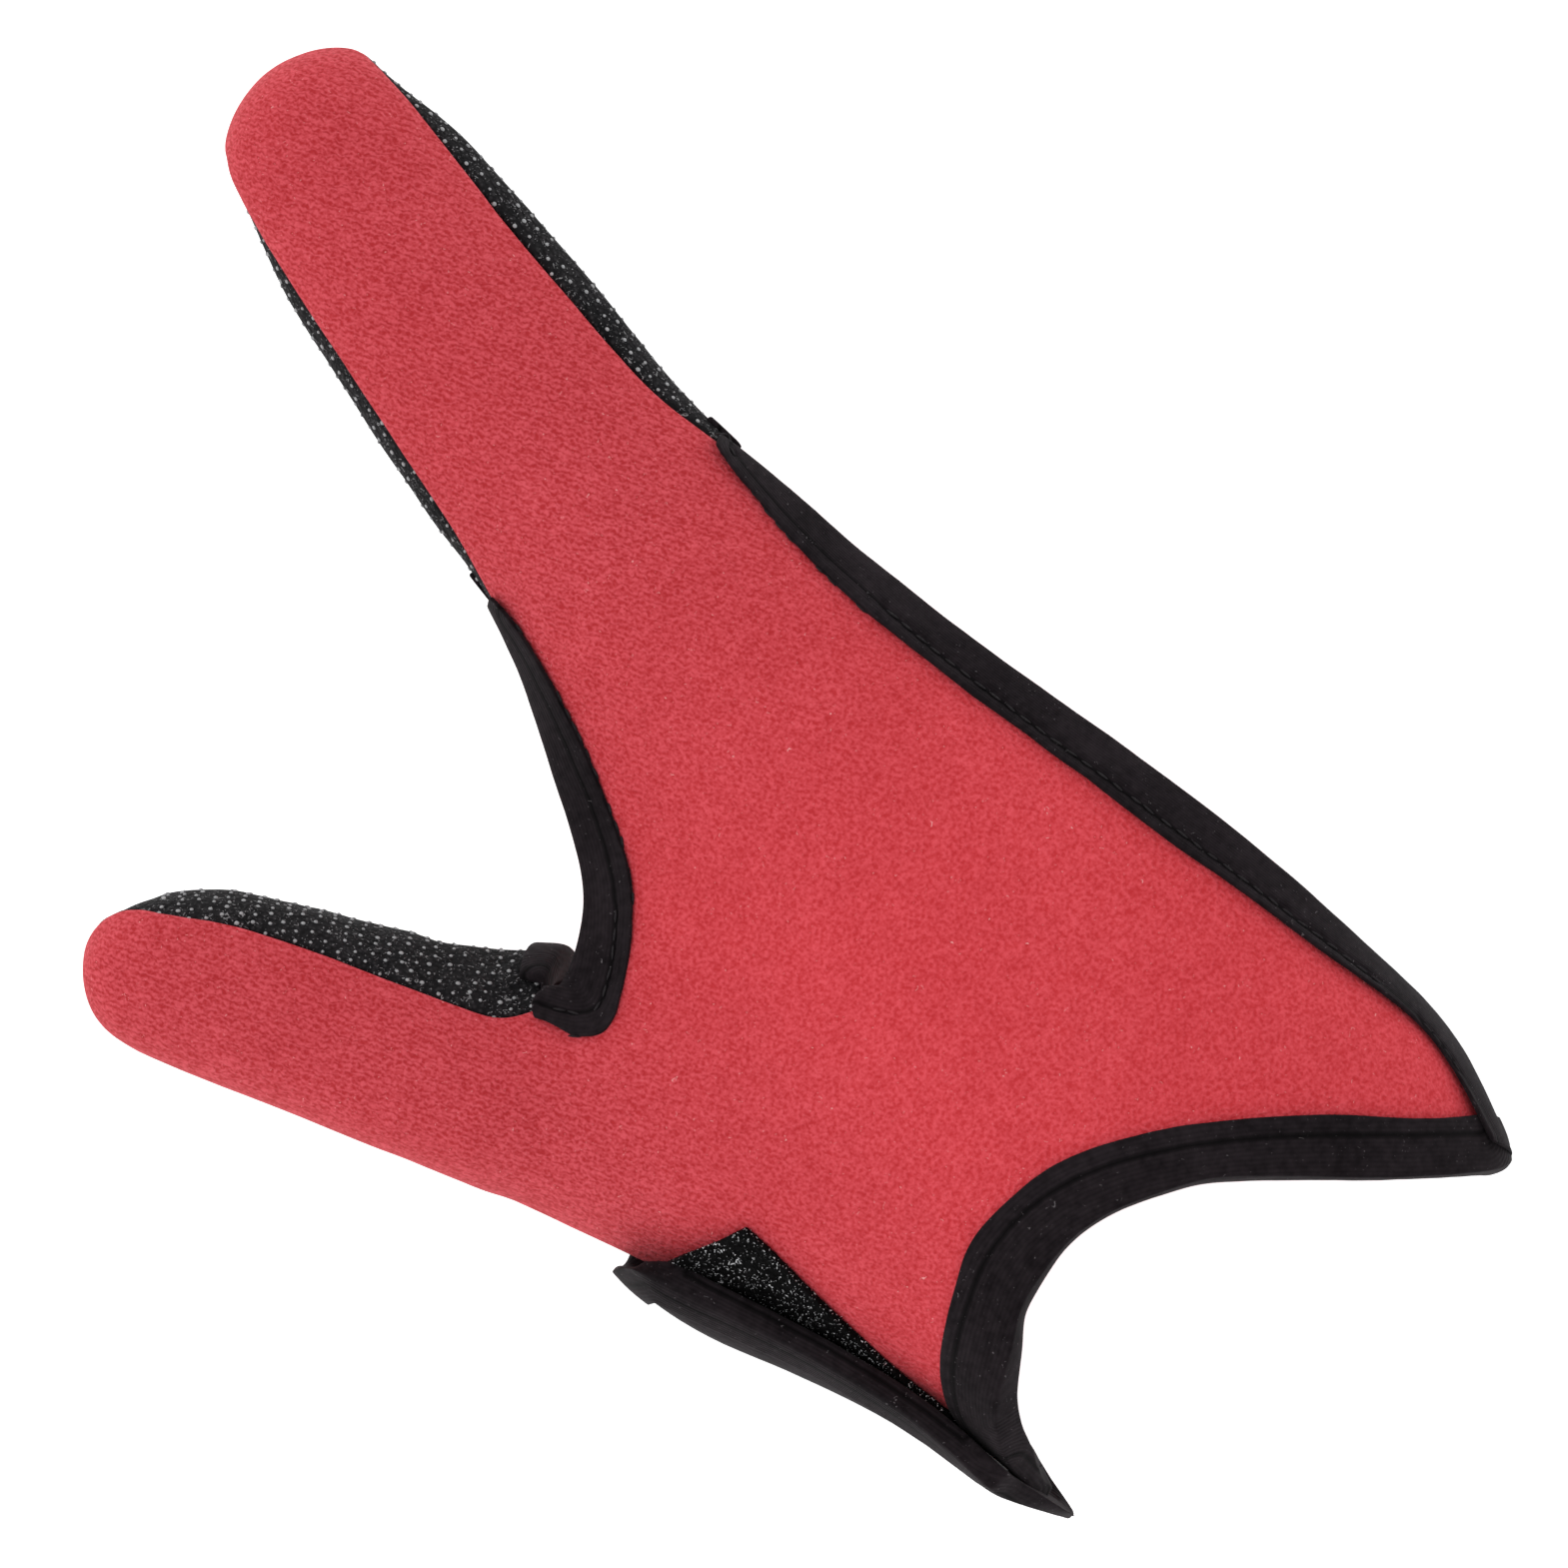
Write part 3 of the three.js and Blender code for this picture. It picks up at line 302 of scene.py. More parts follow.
# Index finger's underside
# Black knit dotted with grip rubber, sewn to both long edges of the finger's panel so that
# the two make a tube that is closed at the fingertip.
knit_crease = 0.3
knit_swells = ((10 * mm, 0.22 * mm), (3.6 * mm, 0.07 * mm))
index_knit_pulls = (
    (40.6, 66.0, 9, 42, 0.9, 0.0, 0.0),
    (3.0, 56.0, 8, 30, 0.5, 0.0, 0.0),
    (22.0, 105.0, 15, 8, 0.0, 0.4, 0.0),
    (40.6, 35.2, 7, 8, 1.7, -2.4, 0.2),
)
knit_deep = (0.004, 0.004, 0.0045, 1)
knit_pale = (0.013, 0.012, 0.013, 1)
# Paler colour for the painted highlight on the yarn's crowns
painted_yarn_highlight = (0.030, 0.028, 0.030, 1)
yarn_glint = (0.22, 0.215, 0.22, 1)
rubber_deep = (0.16, 0.16, 0.165, 1)
rubber_pale = (0.40, 0.40, 0.41, 1)
dot_pitch = 2.3 * mm
dot_radius = 0.3 * mm
dot_height = 0.2 * mm
row_spacing = 0.87  # of the pitch, for rows that stand staggered
dot_stray = 0.16  # shares of the pitch by which a dot may stand off, round the tube
row_stray = 0.14  # and along it
dot_sizes = (0.75, 1.15)  # smallest and largest, against the named radius
lost_dots = 0.08  # share that has worn off
steepest = 0.2  # least lean of the cloth towards the ray that places a dot

# Yarn loops: the small rounded cells of a knit or of looped pile
loops, taken, given = new_group(
    "yarn loops", {"Vector": "Vector", "Scale": "Float"}, {"Height": "Float"}
)
cells = put(loops, "TexVoronoi", {"Vector": taken["Vector"], "Scale": taken["Scale"]})
crown = put(loops, "Math", {0: 1.0, 1: cells.outputs["Distance"]}, operation="SUBTRACT")
loops.links.new(crown.outputs[0], given["Height"])

grip_knit, tree, shader, place = new_cloth(
    "black grip knit", roughness=0.8, gloss=0.06, nap=0.0, nap_colour=(1, 1, 1, 1)
)
stitched = place_group(tree, loops, {"Vector": place, "Scale": 1250.0})
dyed = place_group(
    tree, dye, {"Vector": place, "Scale": 160.0, "Deep": knit_deep, "Pale": knit_pale}
)
# Painted highlight: the crowns of the yarn loops are drawn paler than the knit, as if lit
crest_highlight_mask = put(tree, "MapRange", {"Value": stitched, "From Min": 0.55, "From Max": 0.95})
crest_highlighted = put(tree, "MixRGB", {0: crest_highlight_mask.outputs[0], 1: dyed, 2: painted_yarn_highlight})
# Painted glints: pale specks over the black knit stand in for light catching the yarn
flecks = place_group(tree, lint_and_glints, {"Vector": place, "Scale": 1300.0, "Limit": 0.66})
flecked = put(tree, "MixRGB", {0: flecks, 1: crest_highlighted.outputs[0], 2: yarn_glint})
tree.links.new(flecked.outputs[0], shader.inputs["Base Color"])
raise_nap(tree, shader, stitched, strength=0.9, depth=0.3 * mm)

grip_rubber, tree, shader, place = new_cloth(
    "grip rubber", roughness=0.42, gloss=0.5, nap=0.0, nap_colour=(1, 1, 1, 1)
)
scuffed = put(tree, "TexNoise", {"Vector": place, "Scale": 900.0, "Detail": 2.0})
rubbed = put(tree, "MixRGB", {0: scuffed.outputs["Fac"], 1: rubber_deep, 2: rubber_pale})
tree.links.new(rubbed.outputs[0], shader.inputs["Base Color"])
duller = put(tree, "MapRange", {"Value": scuffed.outputs["Fac"], "To Min": 0.3, "To Max": 0.6})
tree.links.new(duller.outputs[0], shader.inputs["Roughness"])


def surface_of(piece):
    mesh = piece.data
    return BVHTree.FromPolygons([v.co for v in mesh.vertices], [p.vertices for p in mesh.polygons])


def outermost(surface, start, direction, furthest):
    """The last place where a line from inside a tube leaves it."""
    found = None
    reach = 0.0
    while reach < furthest:
        place, normal, _, step = surface.ray_cast(start + direction * reach, direction)
        if place is None:
            break
        reach += step + 0.05 * mm
        found = (place, normal)
    return found


def facing_matrix(place, normal, along, size):
    """Stands a shape on a surface: z along the normal, x along the run."""
    z = normal.normalized()
    y = z.cross(along).normalized()
    x = y.cross(z)
    turn = Matrix((x, y, z)).transposed().to_4x4()
    return Matrix.Translation(place) @ turn @ Matrix.Diagonal((*size, 1))


def dot_tube(name, knit, start, end, width, first_angle, last_angle):
    """Rubber dots in staggered rows over the outside of a knit tube."""
    rng = random.Random(name)
    surface = surface_of(knit)
    axis = (Vector(end) - Vector(start)) * mm
    rows = round(axis.length / (dot_pitch * row_spacing))
    ahead = axis.normalized()
    side = Vector((ahead.y, -ahead.x, 0))
    step = dot_pitch / (0.5 * width * mm)
    dots = bmesh.new()
    for row in range(rows + 1):
        middle = Vector(start) * mm + axis * row / rows
        turn = first_angle + step * (0.5 if row % 2 else 0)
        while turn < last_angle:
            swing = turn + step * rng.uniform(-dot_stray, dot_stray)
            out = side * math.cos(swing) + Vector((0, 0, math.sin(swing)))
            inside = middle + ahead * dot_pitch * rng.uniform(-row_stray, row_stray)
            hit = outermost(surface, inside, out, width * mm)
            turn += step
            if hit is None or hit[1].dot(out) < steepest or rng.random() < lost_dots:
                continue
            radius = dot_radius * rng.uniform(*dot_sizes)
            size = (radius, radius, dot_height)
            bmesh.ops.create_icosphere(
                dots, subdivisions=2, radius=1, matrix=facing_matrix(*hit, ahead, size)
            )
    lay_down(dots.verts, 0.0)
    piece = bpy.data.objects.new(name, bpy.data.meshes.new(name))
    dots.to_mesh(piece.data)
    piece.data.shade_smooth()
    bpy.context.scene.collection.objects.link(piece)
    piece.data.materials.append(grip_rubber)
    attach(piece, "root")
    return piece


index_knit = rounded("index_knit", joined_copy("index_palm", index_knit_pulls), 2, knit_crease)
swell(index_knit, knit_swells, start=7.0)
index_knit.data.materials.clear()
index_knit.data.materials.append(grip_knit)
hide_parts("index_palm")
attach(index_knit, "root")
index_dots = dot_tube(
    "index_grip_dots",
    index_knit,
    start=(21.6, 36.5, 8.6),
    end=(22.4, 101, 8.0),
    width=33,
    first_angle=0.85 * math.pi,
    last_angle=2.25 * math.pi,
)

# Thumb's pad side
# The same dotted knit, sewn to both long edges of the thumb's panel. It is pulled up to the
# thumb's inner side and wrinkles where its open end meets the web.
thumb_pulls = (
    (-19.2, -5.6, 9, 9, 1.3, 1.8, 0.3),
    (-20.0, -10.2, 4.5, 4.5, -2.0, -1.3, 0.8),
    (-17.2, -8.8, 4, 4, 1.3, -0.9, 0.0),
)
first_rib = (-22.5, -3.9)
rib_step = (-0.72, -0.96)
thumb_ribs = tuple(
    dict(
        across=first_rib[0] + rib_step[0] * i,
        along=first_rib[1] + rib_step[1] * i,
        turn=-32 - 3 * i,
        length=13,
        breadth=0.6,
        depth=0.3,
    )
    for i in range(5)
)
thumb_wrinkles = ((6.5 * mm, 0.42 * mm), (2.8 * mm, 0.14 * mm))

thumb_knit = rounded("thumb_knit", joined_copy("thumb_palm", thumb_pulls), 2, knit_crease)
swell(thumb_knit, thumb_wrinkles, start=11.0)
press_folds(thumb_knit, thumb_ribs)
thumb_knit.data.materials.clear()
thumb_knit.data.materials.append(grip_knit)
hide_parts("thumb_palm")
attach(thumb_knit, "root")
thumb_dots = dot_tube(
    "thumb_grip_dots",
    thumb_knit,
    start=(-31.5, -18.5, 9.0),
    end=(-58.5, 25.0, 9.0),
    width=27,
    first_angle=0.93 * math.pi,
    last_angle=2.35 * math.pi,
)

# Cuffs of the two knits
# A narrow woven tape folded round the open end of each knit and sewn through, so that the
# cut edge can't ladder.
tape_crease = 0.5
tape_deep = (0.0065, 0.0045, 0.0056, 1)
tape_pale = (0.018, 0.0135, 0.0158, 1)
tape_lint = (0.10, 0.09, 0.095, 1)
thread_deep = (0.006, 0.005, 0.006, 1)
thread_pale = (0.03, 0.026, 0.028, 1)
rib_pitch = 0.55 * mm
seam_inset = 2.2 * mm
seam_shade = 0.55 * mm
seam_dark = 0.12  # brightness left in the groove
off_edge = 25  # how much longer a way off the edge counts than one along it
height_share = 0.5
index_cuff_pulls = (
    (2.6, 35.4, 6, 6, 1.2, 0.0, 0.0),
    (40.6, 35.2, 7, 8, 1.5, -3.6, 0.3),
)

binding_tape, tree, shader, place = new_cloth(
    "woven tape", roughness=0.85, gloss=0.07, nap=0.03, nap_colour=(0.8, 0.74, 0.77, 1)
)
lie = put(tree, "UVMap", uv_map="lie")
across = put(tree, "SeparateXYZ", {0: lie.outputs[0]})
wander = put(tree, "TexNoise", {"Vector": place, "Scale": 260.0, "Detail": 1.0})
sway = put(tree, "Math", {0: wander.outputs["Fac"], 1: 2.4}, operation="MULTIPLY")
count = put(
    tree,
    "Math",
    {0: across.outputs[1], 1: 2 * math.pi / rib_pitch, 2: sway.outputs[0]},
    operation="MULTIPLY_ADD",
)
ribs = put(tree, "Math", {0: count.outputs[0]}, operation="SINE")
threads = put(tree, "TexNoise", {"Vector": place, "Scale": 2300.0, "Detail": 1.5})
rib_height = put(tree, "MapRange", {"Value": ribs.outputs[0], "From Min": -1.0, "From Max": 1.0})
# The sewing's shadow: a dark line at one distance from the raw edge
from_seam = put(tree, "Math", {0: across.outputs[1], 1: seam_inset}, operation="SUBTRACT")
near_seam = put(tree, "Math", {0: from_seam.outputs[0]}, operation="ABSOLUTE")
in_groove = put(
    tree, "MapRange", {"Value": near_seam.outputs[0], "From Max": seam_shade, "To Min": seam_dark}
)
# The weave darkens the tape's colour: painted shade in the ribs' hollows, mixed with the threads' own
# uneven tone
weave = put(tree, "MixRGB", {0: 0.45, 1: rib_height.outputs[0], 2: threads.outputs["Fac"]})
dyed = place_group(tree, dye, {"Vector": place, "Scale": 90.0, "Deep": tape_deep, "Pale": tape_pale})
rib_shade_and_thread_tone = put(
    tree, "MapRange", {"Value": weave.outputs[0], "From Min": 0.1, "From Max": 0.6, "To Min": 0.72}
)
woven = put(tree, "MixRGB", {0: 1.0, 1: dyed, 2: rib_shade_and_thread_tone.outputs[0]}, blend_type="MULTIPLY")
# The dyed weave multiplied by the painted shadow of the seam groove
with_painted_shading = put(
    tree, "MixRGB", {0: 1.0, 1: woven.outputs[0], 2: in_groove.outputs[0]}, blend_type="MULTIPLY"
)
flecks = place_group(tree, lint_and_glints, {"Vector": place, "Scale": 1200.0, "Limit": 0.74})
flecked = put(tree, "MixRGB", {0: flecks, 1: with_painted_shading.outputs[0], 2: tape_lint})
tree.links.new(flecked.outputs[0], shader.inputs["Base Color"])
raise_nap(tree, shader, weave.outputs[0], strength=0.45, depth=0.16 * mm)

sewing_thread, tree, shader, place = new_cloth(
    "black sewing thread", roughness=0.7, gloss=0.12, nap=0.0, nap_colour=(1, 1, 1, 1)
)
twist = put(tree, "TexNoise", {"Vector": place, "Scale": 3200.0, "Detail": 1.0})
ply = put(tree, "MixRGB", {0: twist.outputs["Fac"], 1: thread_deep, 2: thread_pale})
tree.links.new(ply.outputs[0], shader.inputs["Base Color"])
raise_nap(tree, shader, twist.outputs["Fac"], strength=0.4, depth=0.08 * mm)


def spaced(points, step):
    """A line of points set out evenly along a rough line, with its corners eased."""
    for _ in range(3):
        eased = [(a + 2 * b + c) / 4 for a, b, c in zip(points, points[1:], points[2:])]
        points = [points[0], *eased, points[-1]]
    placed = [points[0]]
    short = step
    for a, b in zip(points, points[1:]):
        run = (b - a).length
        while short <= run:
            placed.append(a.lerp(b, short / run))
            short += step
        short -= run
    return placed


def edge_line(form, spots):
    """A tape's raw edge, followed over its corners from place to place as seen from above."""
    form.verts.index_update()
    sharp = {e for e in form.edges if e.is_manifold and e.calc_face_angle() > fold_angle}
    corners = {v for e in sharp for v in e.verts}

    def nearest(spot):
        spot = Vector(spot) * mm
        return min(corners, key=lambda v: (v.co.xy - spot).length - height_share * v.co.z)

    passed = [nearest(spot) for spot in spots]
    whole = [passed[0].co.copy()]
    for first, last in zip(passed, passed[1:]):
        best = {first: 0.0}
        came = {}
        waiting = [(0.0, first.index, first)]
        while waiting:
            so_far, _, corner = heapq.heappop(waiting)
            if corner == last:
                break
            if so_far > best[corner]:
                continue
            for edge in corner.link_edges:
                other = edge.other_vert(corner)
                total = so_far + edge.calc_length() * (1 if edge in sharp else off_edge)
                if total < best.get(other, math.inf):
                    best[other] = total
                    came[other] = corner
                    heapq.heappush(waiting, (total, other.index, other))
        line = [last]
        while line[-1] != first:
            line.append(came[line[-1]])
        whole += [v.co.copy() for v in reversed(line[:-1])]
    return whole


def lay_weave(piece, line, inset):
    """Runs the tape's ribs beside its raw edge: u along the edge, v away from it."""
    tree = KDTree(len(line))
    for i, place in enumerate(line):
        tree.insert(place, i)
    tree.balance()
    step = (line[1] - line[0]).length
    laid = []
    for vertex in piece.data.vertices:
        _, i, away = tree.find(vertex.co)
        laid.append((i * step, away * seam_inset / inset))
    layer = piece.data.uv_layers.new(name="lie")
    for loop in piece.data.loops:
        layer.data[loop.index].uv = laid[loop.vertex_index]


def seam_places(piece, line, inset):
    """Places of a seam on a tape's face, at one distance from its raw edge."""
    surface = surface_of(piece)
    places = []
    for a, b, c in zip(line, line[1:], line[2:]):
        along = (c - a).normalized()
        normal = Vector((0, 0, 1))
        for _ in range(2):
            side = normal.cross(along).normalized()
            tries = []
            for sign in (1, -1):
                hit = surface.find_nearest(b + side * sign * inset)
                tries.append((hit[3], sign, hit))
            _, sign, hit = min(tries, key=lambda t: t[0])
            normal = hit[1] if hit[1].dot(normal) > 0 else normal
        places.append((hit[0], normal, along))
    return places


def press_seam(piece, places, breadth, depth):
    """The sewing pulls a shallow groove into the tape."""
    tree = KDTree(len(places))
    for i, (place, _, _) in enumerate(places):
        tree.insert(place, i)
    tree.balance()
    facing = [vertex.normal.copy() for vertex in piece.data.vertices]
    for vertex, normal in zip(piece.data.vertices, facing):
        _, i, away = tree.find(vertex.co)
        if away < 3 * breadth and normal.dot(places[i][1]) > 0.3:
            vertex.co -= normal * depth * math.exp(-((away / breadth) ** 2))


def sew(name, places, pitch, length, thickness, sink):
    """A row of small rounded stitches lying in the groove."""
    rng = random.Random(name)
    thread = bmesh.new()
    travelled = 0.0
    for (a, normal, along), (b, _, _) in zip(places, places[1:]):
        travelled += (b - a).length
        if travelled < pitch:
            continue
        travelled -= pitch
        skew = Matrix.Rotation(math.radians(rng.uniform(-7, 7)), 3, normal)
        size = (0.5 * length * rng.uniform(0.88, 1.08), 0.5 * thickness, 0.5 * thickness)
        spot = a - normal * sink * rng.uniform(0.8, 1.25)
        bmesh.ops.create_icosphere(
            thread, subdivisions=2, radius=1, matrix=facing_matrix(spot, normal, skew @ along, size)
        )
    piece = bpy.data.objects.new(name, bpy.data.meshes.new(name))
    thread.to_mesh(piece.data)
    piece.data.shade_smooth()
    bpy.context.scene.collection.objects.link(piece)
    piece.data.materials.append(sewing_thread)
    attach(piece, "root")
    return piece


def tape_piece(name, node, levels, spots, pulls=(), inset=seam_inset):
    form = joined_copy(node, pulls)
    if node in ("wrist_binding", "outer_binding"):
        round_corner(form, outer_corner, outer_corner_radius)
    line = spaced(edge_line(form, spots), 0.5 * mm)
    piece = rounded(name, form, levels, tape_crease)
    lay_weave(piece, line, inset)
    piece.data.materials.clear()
    piece.data.materials.append(binding_tape)
    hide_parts(node)
    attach(piece, "root")
    return piece, line


index_cuff, _ = tape_piece(
    "index_cuff_tape", "index_cuff", 2, ((3.1, 38.2), (40.1, 38.2)), index_cuff_pulls
)

thumb_cuff, _ = tape_piece(
    "thumb_cuff_tape", "thumb_cuff", 2, ((-16.9, -7.3), (-40.9, -27.3)), thumb_pulls
)

# Web tape
# Woven tape folded round the panel's edge between the index finger and the thumb, with one
# row of stitches near its raw edge. It turns round at the web's bottom.
tape_swells = ((7 * mm, 0.1 * mm), (2.6 * mm, 0.035 * mm))
seam_breadth = 0.5 * mm
seam_depth = 0.42 * mm
stitch_pitch = 2.5 * mm
stitch_length = 1.9 * mm
stitch_thickness = 0.34 * mm
stitch_sink = 0.15 * mm

web_pulls = (
    (-22.3, -14.8, 6, 6, -1.3, 3.4, -0.6),
    (4.6, 31.2, 5, 6, -0.2, 1.6, -0.2),
    (-11.3, -14.6, 4, 4.5, 1.0, -0.5, 0.0),
    (-25.2, -13.4, 4, 4, 0.8, 0.3, 0.0),
    (-18.2, -19.2, 4.5, 4.5, -0.8, -1.0, 0.0),
    (1.6, 34.6, 3.4, 5, 1.0, -0.3, 0.0),
    (4.2, 32.9, 2.5, 3.5, -0.5, 0.4, 0.0),
)
web_spots = ((3.6, 32.0), (-5.3, -8.8), (-17.9, -19.6), (-24.9, -13.0))
web_tape, web_line = tape_piece("web_tape", "web_binding", 3, web_spots, web_pulls)
swell(web_tape, tape_swells, start=17.0)
web_seam = seam_places(web_tape, web_line, seam_inset)
press_seam(web_tape, web_seam, seam_breadth, seam_depth)
web_stitches = sew(
    "web_stitches", web_seam, stitch_pitch, stitch_length, stitch_thickness, stitch_sink
)

# Outer tape
# The same tape folded round the panel's long edge on the little finger's side, from the
# index finger's root down to the corner at the wrist.
outer_pulls = (
    (37.4, 31.0, 6, 7, 0.2, 1.6, -0.2),
    (67.2, -99.0, 6, 8, -0.9, -6.2, 0.3),
    (37.2, 34.2, 4, 6, 1.1, -0.8, 0.0),
    (38.6, 32.8, 3, 4, 0.8, -0.6, 0.0),
)
outer_inset = 1.6 * mm
outer_spots = ((35.1, 32.0), (46.9, -18.3), (64.5, -99.0))
outer_tape, outer_line = tape_piece(
    "outer_tape", "outer_binding", 3, outer_spots, outer_pulls, outer_inset
)
swell(outer_tape, tape_swells, start=19.0)
outer_seam = seam_places(outer_tape, outer_line, outer_inset)
press_seam(outer_tape, outer_seam, seam_breadth, seam_depth)
outer_stitches = sew(
    "outer_stitches", outer_seam, stitch_pitch, stitch_length, stitch_thickness, stitch_sink
)

# Wrist tape
# A broader fold of the same tape round the arched notch at the back of the wrist, sewn in a
# groove close to the red cloth.
wrist_inset = 2.5 * mm
wrist_seam_breadth = 0.55 * mm
wrist_seam_depth = 0.6 * mm
wrist_stitch_sink = 0.2 * mm
wrist_pulls = (
    (-4.5, -102.0, 6, 6, -2.8, -0.6, 0.0),
    (11.5, -69.2, 6, 5, 0.5, -0.5, 0.0),
    (3.0, -73.0, 5, 6, -0.5, 0.4, 0.0),
    (4.6, -83.1, 4.5, 8, -1.0, 0.8, 0.0),
)
wrist_spots = ((-12.6, -98.2), (-7.2, -80.6), (17.0, -68.2), (65.5, -98.3))
wrist_tape, wrist_line = tape_piece(
    "wrist_tape", "wrist_binding", 3, wrist_spots, wrist_pulls, wrist_inset
)
swell(wrist_tape, tape_swells, start=23.0)
wrist_seam = seam_places(wrist_tape, wrist_line, wrist_inset)
press_seam(wrist_tape, wrist_seam, wrist_seam_breadth, wrist_seam_depth)
wrist_stitches = sew(
    "wrist_stitches", wrist_seam, stitch_pitch, stitch_length, stitch_thickness, wrist_stitch_sink
)

# Loop patch
# The soft half of the closure: a short strip of looped pile with a firm selvage, sewn flat on
# the panel at the thumb's side of the wrist.
pile_deep = (0.001, 0.001, 0.001, 1)
pile_pale = (0.004, 0.0038, 0.004, 1)
pile_glint = (0.8, 0.8, 0.82, 1)
loop_pulls = ((-26.9, -52.2, 8, 8, -2.9, 3.4, 0.2),)
tuft_count = 2600
tuft_length = 0.75 * mm
tuft_radius = 0.055 * mm
tuft_lean = 0.85
pile_crease = 0.6

loop_pile, tree, shader, place = new_cloth(
    "looped pile", roughness=0.7, gloss=0.05, nap=0.0, nap_colour=(1, 1, 1, 1)
)
looped = place_group(tree, loops, {"Vector": place, "Scale": 1500.0})
dyed = place_group(tree, dye, {"Vector": place, "Scale": 200.0, "Deep": pile_deep, "Pale": pile_pale})
# Painted glints: bright specks over the black pile stand in for light catching the nylon loops
flecks = place_group(tree, lint_and_glints, {"Vector": place, "Scale": 1500.0, "Limit": 0.67})
flecked = put(tree, "MixRGB", {0: flecks, 1: dyed, 2: pile_glint})
tree.links.new(flecked.outputs[0], shader.inputs["Base Color"])
raise_nap(tree, shader, looped, strength=0.8, depth=0.35 * mm)


def tuft(name, piece, count, length, radius, lean, finish):
    """Short bristles or loops over a patch's outer face, each a three-sided taper."""
    rng = random.Random(name)
    mesh = piece.data
    faces = [f for f in mesh.polygons if f.normal.z > 0.2 and f.area > 0]
    bristles = bmesh.new()
    for face in rng.choices(faces, weights=[f.area for f in faces], k=count):
        corners = [mesh.vertices[i].co for i in face.vertices[:3]]
        u, v = rng.random(), rng.random()
        spot = corners[1] + (corners[0] - corners[1]) * u + (corners[2] - corners[1]) * v
        turn = rng.uniform(0, 2 * math.pi)
        side = face.normal.orthogonal().normalized()
        side.rotate(Matrix.Rotation(turn, 3, face.normal))
        up = (face.normal * (1 - lean) + side * lean).normalized()
        size = (radius, radius, length * rng.uniform(0.6, 1.15))
        bmesh.ops.create_cone(
            bristles,
            segments=3,
            radius1=1,
            radius2=0.45,
            depth=1,
            cap_ends=True,
            matrix=facing_matrix(spot + up * 0.3 * size[2], up, side.cross(up), size),
        )
    made = bpy.data.objects.new(name, bpy.data.meshes.new(name))
    bristles.to_mesh(made.data)
    bpy.context.scene.collection.objects.link(made)
    made.data.materials.append(finish)
    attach(made, "root")
    return made


loop_patch = rounded("loop_pile_patch", joined_copy("loop_patch", loop_pulls), 2, pile_crease)
loop_patch.data.materials.clear()
loop_patch.data.materials.append(loop_pile)
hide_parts("loop_patch")
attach(loop_patch, "root")
loop_tufts = tuft(
    "loop_tufts",
    loop_patch,
    tuft_count,
    tuft_length,
    tuft_radius,
    tuft_lean,
    loop_pile,
)

# Wrist strap
# Black laminated cloth that leaves the little finger's corner, passes under the wrist and
# comes up over the thumb's side to the closure.
strap_cloth, tree, shader, place = new_cloth(
    "strap cloth", roughness=0.85, gloss=0.07, nap=0.03, nap_colour=(0.8, 0.76, 0.78, 1)
)
woven = place_group(tree, loops, {"Vector": place, "Scale": 1000.0})
dyed = place_group(tree, dye, {"Vector": place, "Scale": 80.0, "Deep": tape_deep, "Pale": tape_pale})
tree.links.new(dyed, shader.inputs["Base Color"])
raise_nap(tree, shader, woven, strength=0.35, depth=0.2 * mm)

strap_crease = 0.4
strap_pulls = (
    (-31.7, -44.4, 6, 6, -0.6, -2.6, 0.0),
    (-37.6, -47.4, 5, 5, 1.3, 1.4, 0.0),
    (-10.8, -105.6, 6, 6, 2.6, -1.0, 0.0),
    (-6.7, -103.6, 3.6, 3.6, -0.8, -2.3, 0.0),
    (-8.4, -106.0, 3, 3, 0.9, -0.5, 0.0),
    (-12.4, -102.0, 6.5, 6.5, 0.8, 1.1, 0.0),
    (-7.4, -107.0, 2.6, 2.6, -0.1, -0.5, 0.0),
    (-34.8, -52.2, 2.5, 2.5, 0.4, 0.5, 0.0),
    (-32.8, -51.8, 2.4, 2.4, -0.8, -1.1, 0.0),
    (-30.0, -60.0, 7, 13, -0.7, -0.3, 0.0),
)
strap = rounded("strap_cloth", joined_copy("wrist_strap", strap_pulls), 2, strap_crease)
swell(strap, tape_swells, start=29.0)
strap.data.materials.clear()
strap.data.materials.append(strap_cloth)
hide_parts("wrist_strap")
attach(strap, "root")

# Strap's tape
# Woven tape folded round the strap's two long edges and round its free end.
strap_tape, _ = tape_piece(
    "strap_tape", "strap_binding", 2, ((-29.5, -50.0), (-20.0, -72.0), (-13.0, -92.0)), strap_pulls
)
swell(strap_tape, tape_swells, start=31.0)

# Hook patch
# The stiff half of the closure: short upright hooks on a thin backing, sewn inside the
# strap's end, so only a corner of it shows beside the loop patch.
hook_deep = (0.007, 0.007, 0.008, 1)
hook_pale = (0.028, 0.027, 0.03, 1)
hook_nylon, tree, shader, place = new_cloth(
    "hook nylon", roughness=0.5, gloss=0.4, nap=0.0, nap_colour=(1, 1, 1, 1)
)
moulded = put(tree, "TexNoise", {"Vector": place, "Scale": 1400.0, "Detail": 1.0})
shades = put(tree, "MixRGB", {0: moulded.outputs["Fac"], 1: hook_deep, 2: hook_pale})
tree.links.new(shades.outputs[0], shader.inputs["Base Color"])
raise_nap(tree, shader, moulded.outputs["Fac"], strength=0.4, depth=0.15 * mm)

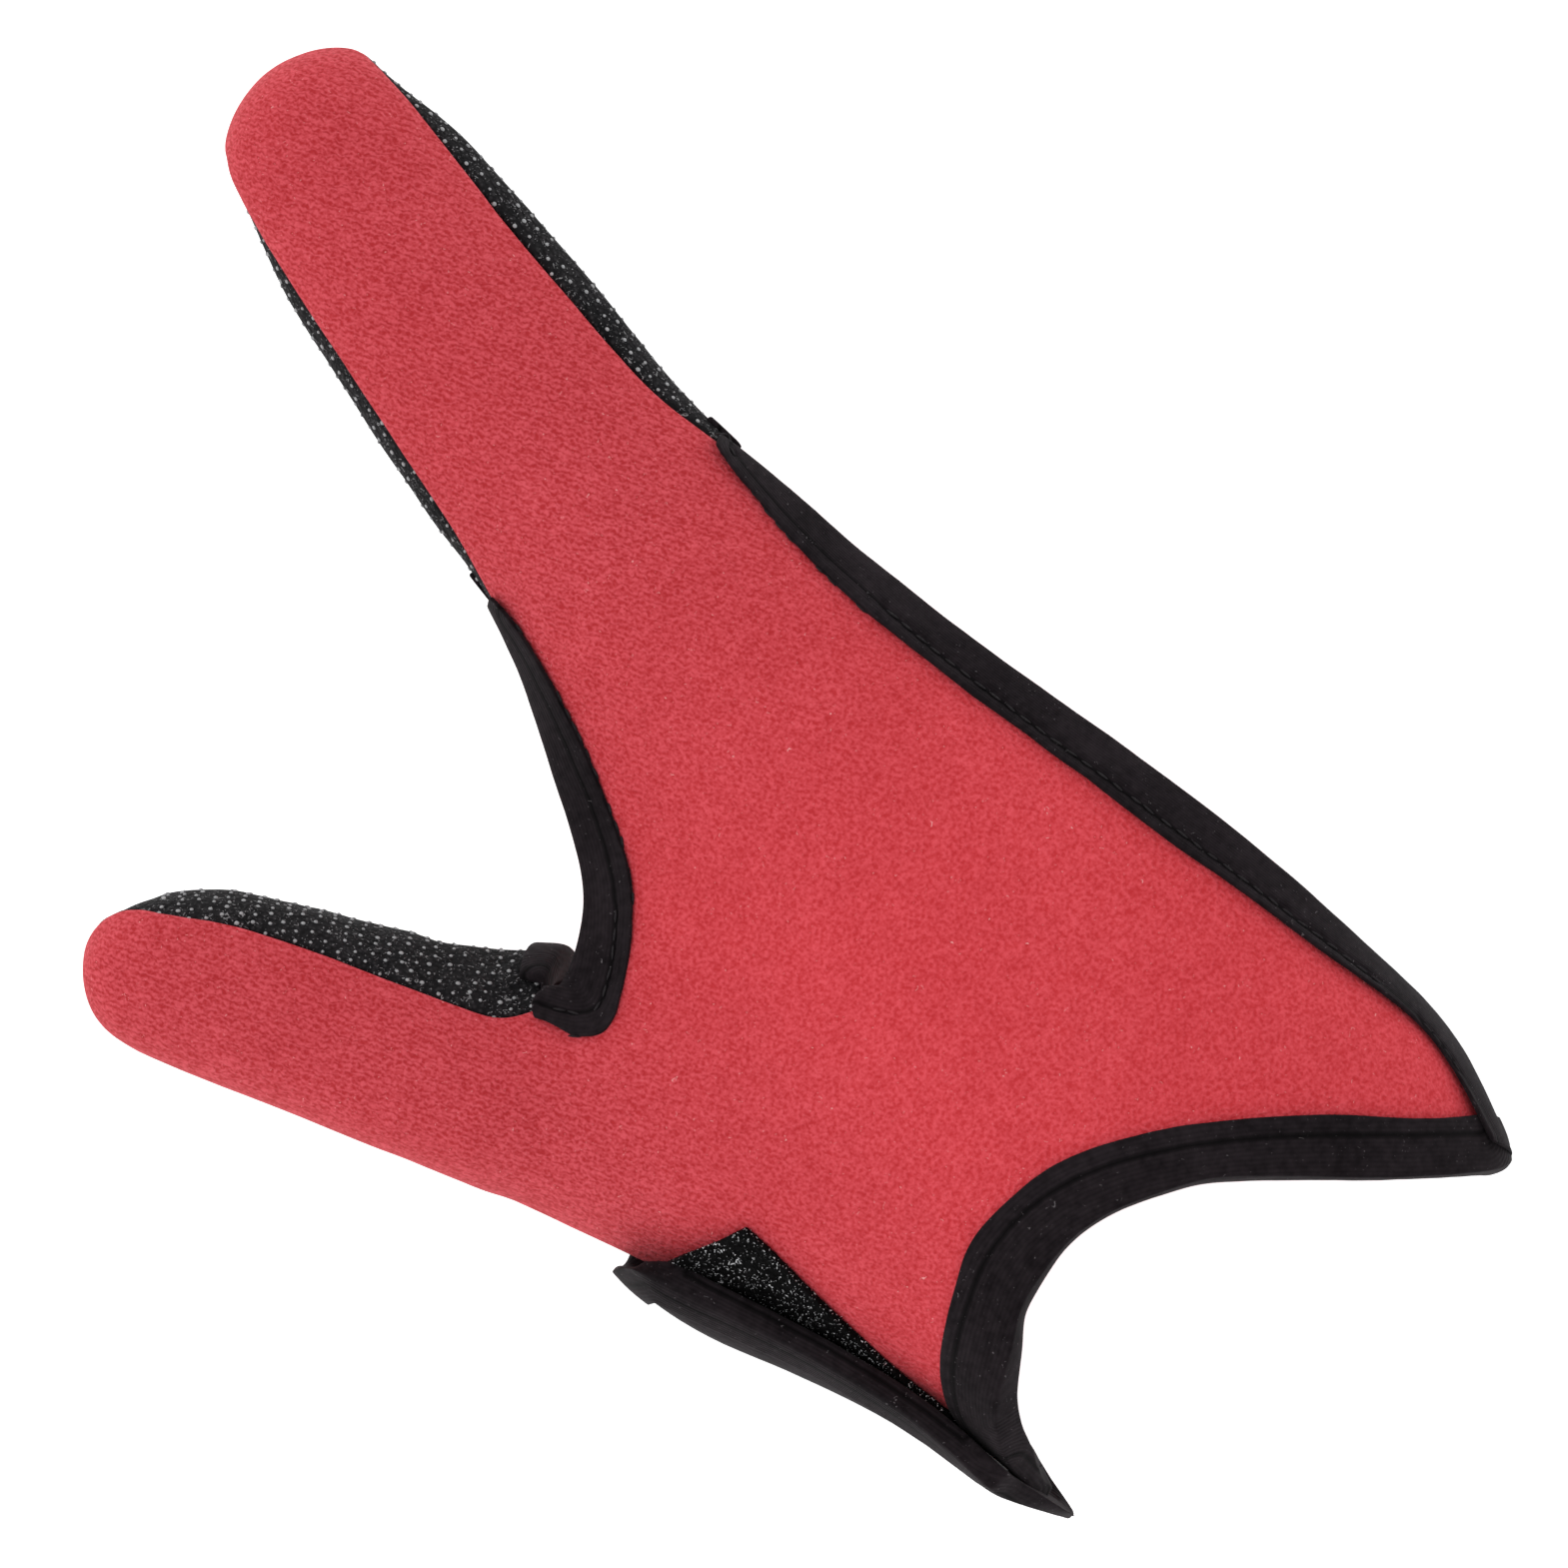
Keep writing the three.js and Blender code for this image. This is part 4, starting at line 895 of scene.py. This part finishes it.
hook_patch = rounded("hook_nylon_patch", joined_copy("hook_patch", strap_pulls), 2, pile_crease)
hook_patch.data.materials.clear()
hook_patch.data.materials.append(hook_nylon)
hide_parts("hook_patch")
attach(hook_patch, "root")

# Table, light and camera
# A plain white table under a white sky and one broad lamp, seen from straight above and
# turned as in the photograph.
table = bpy.data.objects.new("table", bpy.data.meshes.new("table"))
top = bmesh.new()
bmesh.ops.create_grid(top, x_segments=1, y_segments=1, size=1.5)
top.to_mesh(table.data)
bpy.context.scene.collection.objects.link(table)
paper = bpy.data.materials.new("white paper")
paper.use_nodes = True
paper_shader = paper.node_tree.nodes["Principled BSDF"]
paper_shader.inputs["Base Color"].default_value = (0.9, 0.9, 0.9, 1)
paper_shader.inputs["Roughness"].default_value = 0.9
paper_shader.inputs["Emission Color"].default_value = (1, 1, 1, 1)
paper_shader.inputs["Emission Strength"].default_value = 0.75
table.data.materials.append(paper)

sky = bpy.data.worlds.new("white sky")
sky.use_nodes = True
sky.node_tree.nodes["Background"].inputs["Color"].default_value = (1, 1, 1, 1)
sky.node_tree.nodes["Background"].inputs["Strength"].default_value = 0.8
bpy.context.scene.world = sky

lamp = bpy.data.objects.new("broad lamp", bpy.data.lights.new("broad lamp", "AREA"))
lamp.data.shape = "DISK"
lamp.data.size = 0.9
lamp.data.energy = 4.5
lamp.location = (-0.35, 0.45, 1.1)
lamp.rotation_euler = (Vector((0, 0, 0)) - lamp.location).to_track_quat("-Z", "Y").to_euler()
bpy.context.scene.collection.objects.link(lamp)

view_centre = Vector((19.9, -8.4, 25)) * mm
view_turn = -37  # degrees
camera_height = 6.792  # far off, so that the view is nearly without perspective
camera = bpy.data.objects.new("camera", bpy.data.cameras.new("camera"))
camera.data.sensor_width = 36
camera.data.lens = 1200
camera.data.clip_end = 20
camera.location = view_centre + Vector((0, 0, camera_height))
camera.rotation_euler = (0, 0, math.radians(view_turn))
bpy.context.scene.collection.objects.link(camera)
bpy.context.scene.camera = camera
bpy.context.scene.view_settings.view_transform = "Standard"
